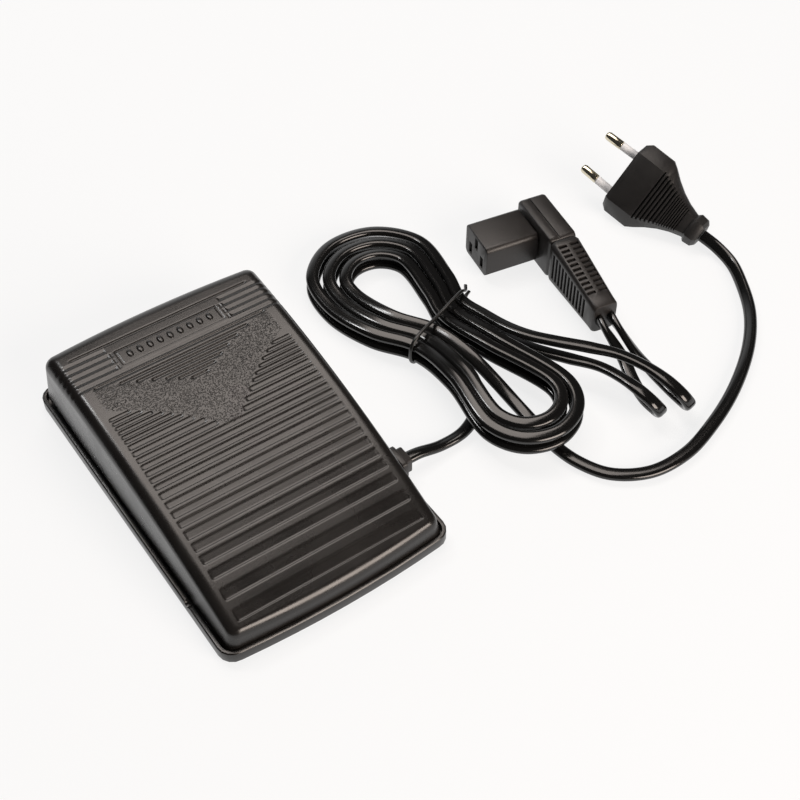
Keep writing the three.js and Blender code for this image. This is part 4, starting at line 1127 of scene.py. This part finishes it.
# Solids that stay as they are and only get their finish
keptFinishes = {
    metals["weightSteelRolled"]: ["weight_plate"],
    metals["steelZincPlated"]: [
        "weight_screws", "board_screws", "clamp_screws", "pusher_screws", "return_spring",
    ],
    metals["heatSinkAluminium"]: ["heat_sink"],
    metals["contactBrass"]: ["connector_contacts"],
    plastics["boardSolderResist"]: ["control_board"],
    plastics["epoxyMoulded"]: ["switching_part", "slider_body", "cord_tail"],
    plastics["filmCapacitorBox"]: ["film_capacitor"],
    plastics["chokeCoreCoated"]: ["choke"],
    plastics["resistorLacquer"]: ["resistors"],
    plastics["terminalPolyamide"]: ["terminal_block"],
    plastics["leadPvcBrown"]: ["lead_brown"],
    plastics["leadPvcBlue"]: ["lead_blue"],
    plastics["nylonMoulded"]: ["cord_clamp", "pusher", "slider_plunger"],
}
finishOf = {start: material for material, starts in keptFinishes.items() for start in starts}
for node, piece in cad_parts.items():
    if piece.hide_render:
        continue
    match = [start for start in finishOf if node.startswith(start)]
    if match:
        piece.data.materials.clear()
        piece.data.materials.append(finishOf[max(match, key=len)])
log("CAD pieces have their finish")


studioLook = {
    "floor": "#e7e9eb",
    "rough": 0.9,
    "shine": 0.1,
    "glow": 0.8,
    # the paper's left edge bends beside the heel
    "paper": [(-0.12, -0.036), (-2.58, -5.5), (6, -5.5), (6, 5.8), (-1.55, 5.8)],
    "room": 0.04,
    # where the white sweep stands, and how near to that direction it starts and is full
    "sweep": (0.25, 0.96, 0.12),
    "sweepEdge": (0.86, 0.97),
}


# A white paper sweep: it ends just outside the picture's left side, where the room is dark
def makeFloor(values):
    corners = [(x, y, 0) for x, y in values["paper"]]
    material, tree, shader = newMaterial("studioPaper")
    shader.inputs["Base Color"].default_value = linearColour(values["floor"])
    shader.inputs["Roughness"].default_value = values["rough"]
    shader.inputs["Specular IOR Level"].default_value = values["shine"]
    light = addNode(tree, "ShaderNodeEmission", {"Color": (1, 1, 1, 1), "Strength": 1.0})
    rays = addNode(tree, "ShaderNodeLightPath").outputs
    seen = addMaths(tree, "MAXIMUM", rays["Is Camera Ray"], rays["Is Glossy Ray"])
    seen = addMaths(tree, "MAXIMUM", seen, rays["Is Transmission Ray"])
    share = addMaths(tree, "MULTIPLY", seen, values["glow"])
    mix = addNode(tree, "ShaderNodeMixShader", {}, {0: share, 1: shader.outputs[0], 2: light.outputs[0]})
    out = [node for node in tree.nodes if node.type == "OUTPUT_MATERIAL"][0]
    tree.links.new(mix.outputs[0], out.inputs["Surface"])
    floor = newPiece("studioFloor", corners, [tuple(range(len(corners)))], material)


# The room is dark but for the white sweep behind the paper: only those and the lamps show in the plastic
def makeRoom(values):
    world = bpy.data.worlds.new("studioRoom")
    bpy.context.scene.world = world
    world.use_nodes = True
    tree = world.node_tree
    tree.nodes.clear()
    rays = addNode(tree, "ShaderNodeLightPath").outputs
    place = addNode(tree, "ShaderNodeTexCoord").outputs["Generated"]
    ahead = {"operation": "DOT_PRODUCT", 1: values["sweep"]}
    behind = addNode(tree, "ShaderNodeVectorMath", ahead, {0: place}).outputs["Value"]
    sweep = mapRange(tree, behind, values["room"], 1.0, *values["sweepEdge"])
    seen = addMaths(tree, "MAXIMUM", sweep, rays["Is Camera Ray"])
    light = addNode(tree, "ShaderNodeBackground", {"Color": (1, 1, 1, 1)}, {"Strength": seen})
    addNode(tree, "ShaderNodeOutputWorld", {}, {0: light.outputs[0]})


def addLamp(name, place, size, turn, radiance, tint):
    # without a turn the lamp faces the pedal, otherwise it hangs level and is turned about its own axis
    data = bpy.data.lights.new(name, "AREA")
    data.shape = "RECTANGLE"
    data.size, data.size_y = size
    data.energy = radiance * math.pi * size[0] * size[1]
    data.color = linearColour(tint)[:3]
    lamp = bpy.data.objects.new(name, data)
    lamp.location = place
    facing = (-Vector(place)).to_track_quat("-Z", "Y")
    lamp.rotation_mode = "QUATERNION"
    if turn is None:
        lamp.rotation_quaternion = facing
    else:
        lamp.rotation_quaternion = Matrix.Rotation(math.radians(turn), 3, "Z").to_quaternion()
    bpy.context.scene.collection.objects.link(lamp)


lampLook = {
    # a softbox that hangs level over the table
    "overheadBox": {
        "place": (0.31, 0.49, 1.2), "size": (0.9, 0.82), "turn": 31, "radiance": 4.3, "tint": "#fff4ec",
    },
    # a strip in front of the heel
    "frontStrip": {
        "place": (0.3, -1.05, 0.52), "size": (0.8, 0.64), "turn": None, "radiance": 10, "tint": "#fff0e4",
    },
    # a small bright lamp up on the left
    "leftSpot": {
        "place": (-0.21, 0.79, 1.2), "size": (0.2, 0.2), "turn": None, "radiance": 26, "tint": "#ffffff",
    },
}
makeFloor(studioLook)
makeRoom(studioLook)
for lampName, lampValues in lampLook.items():
    addLamp(lampName, **lampValues)
log("studio is lit")
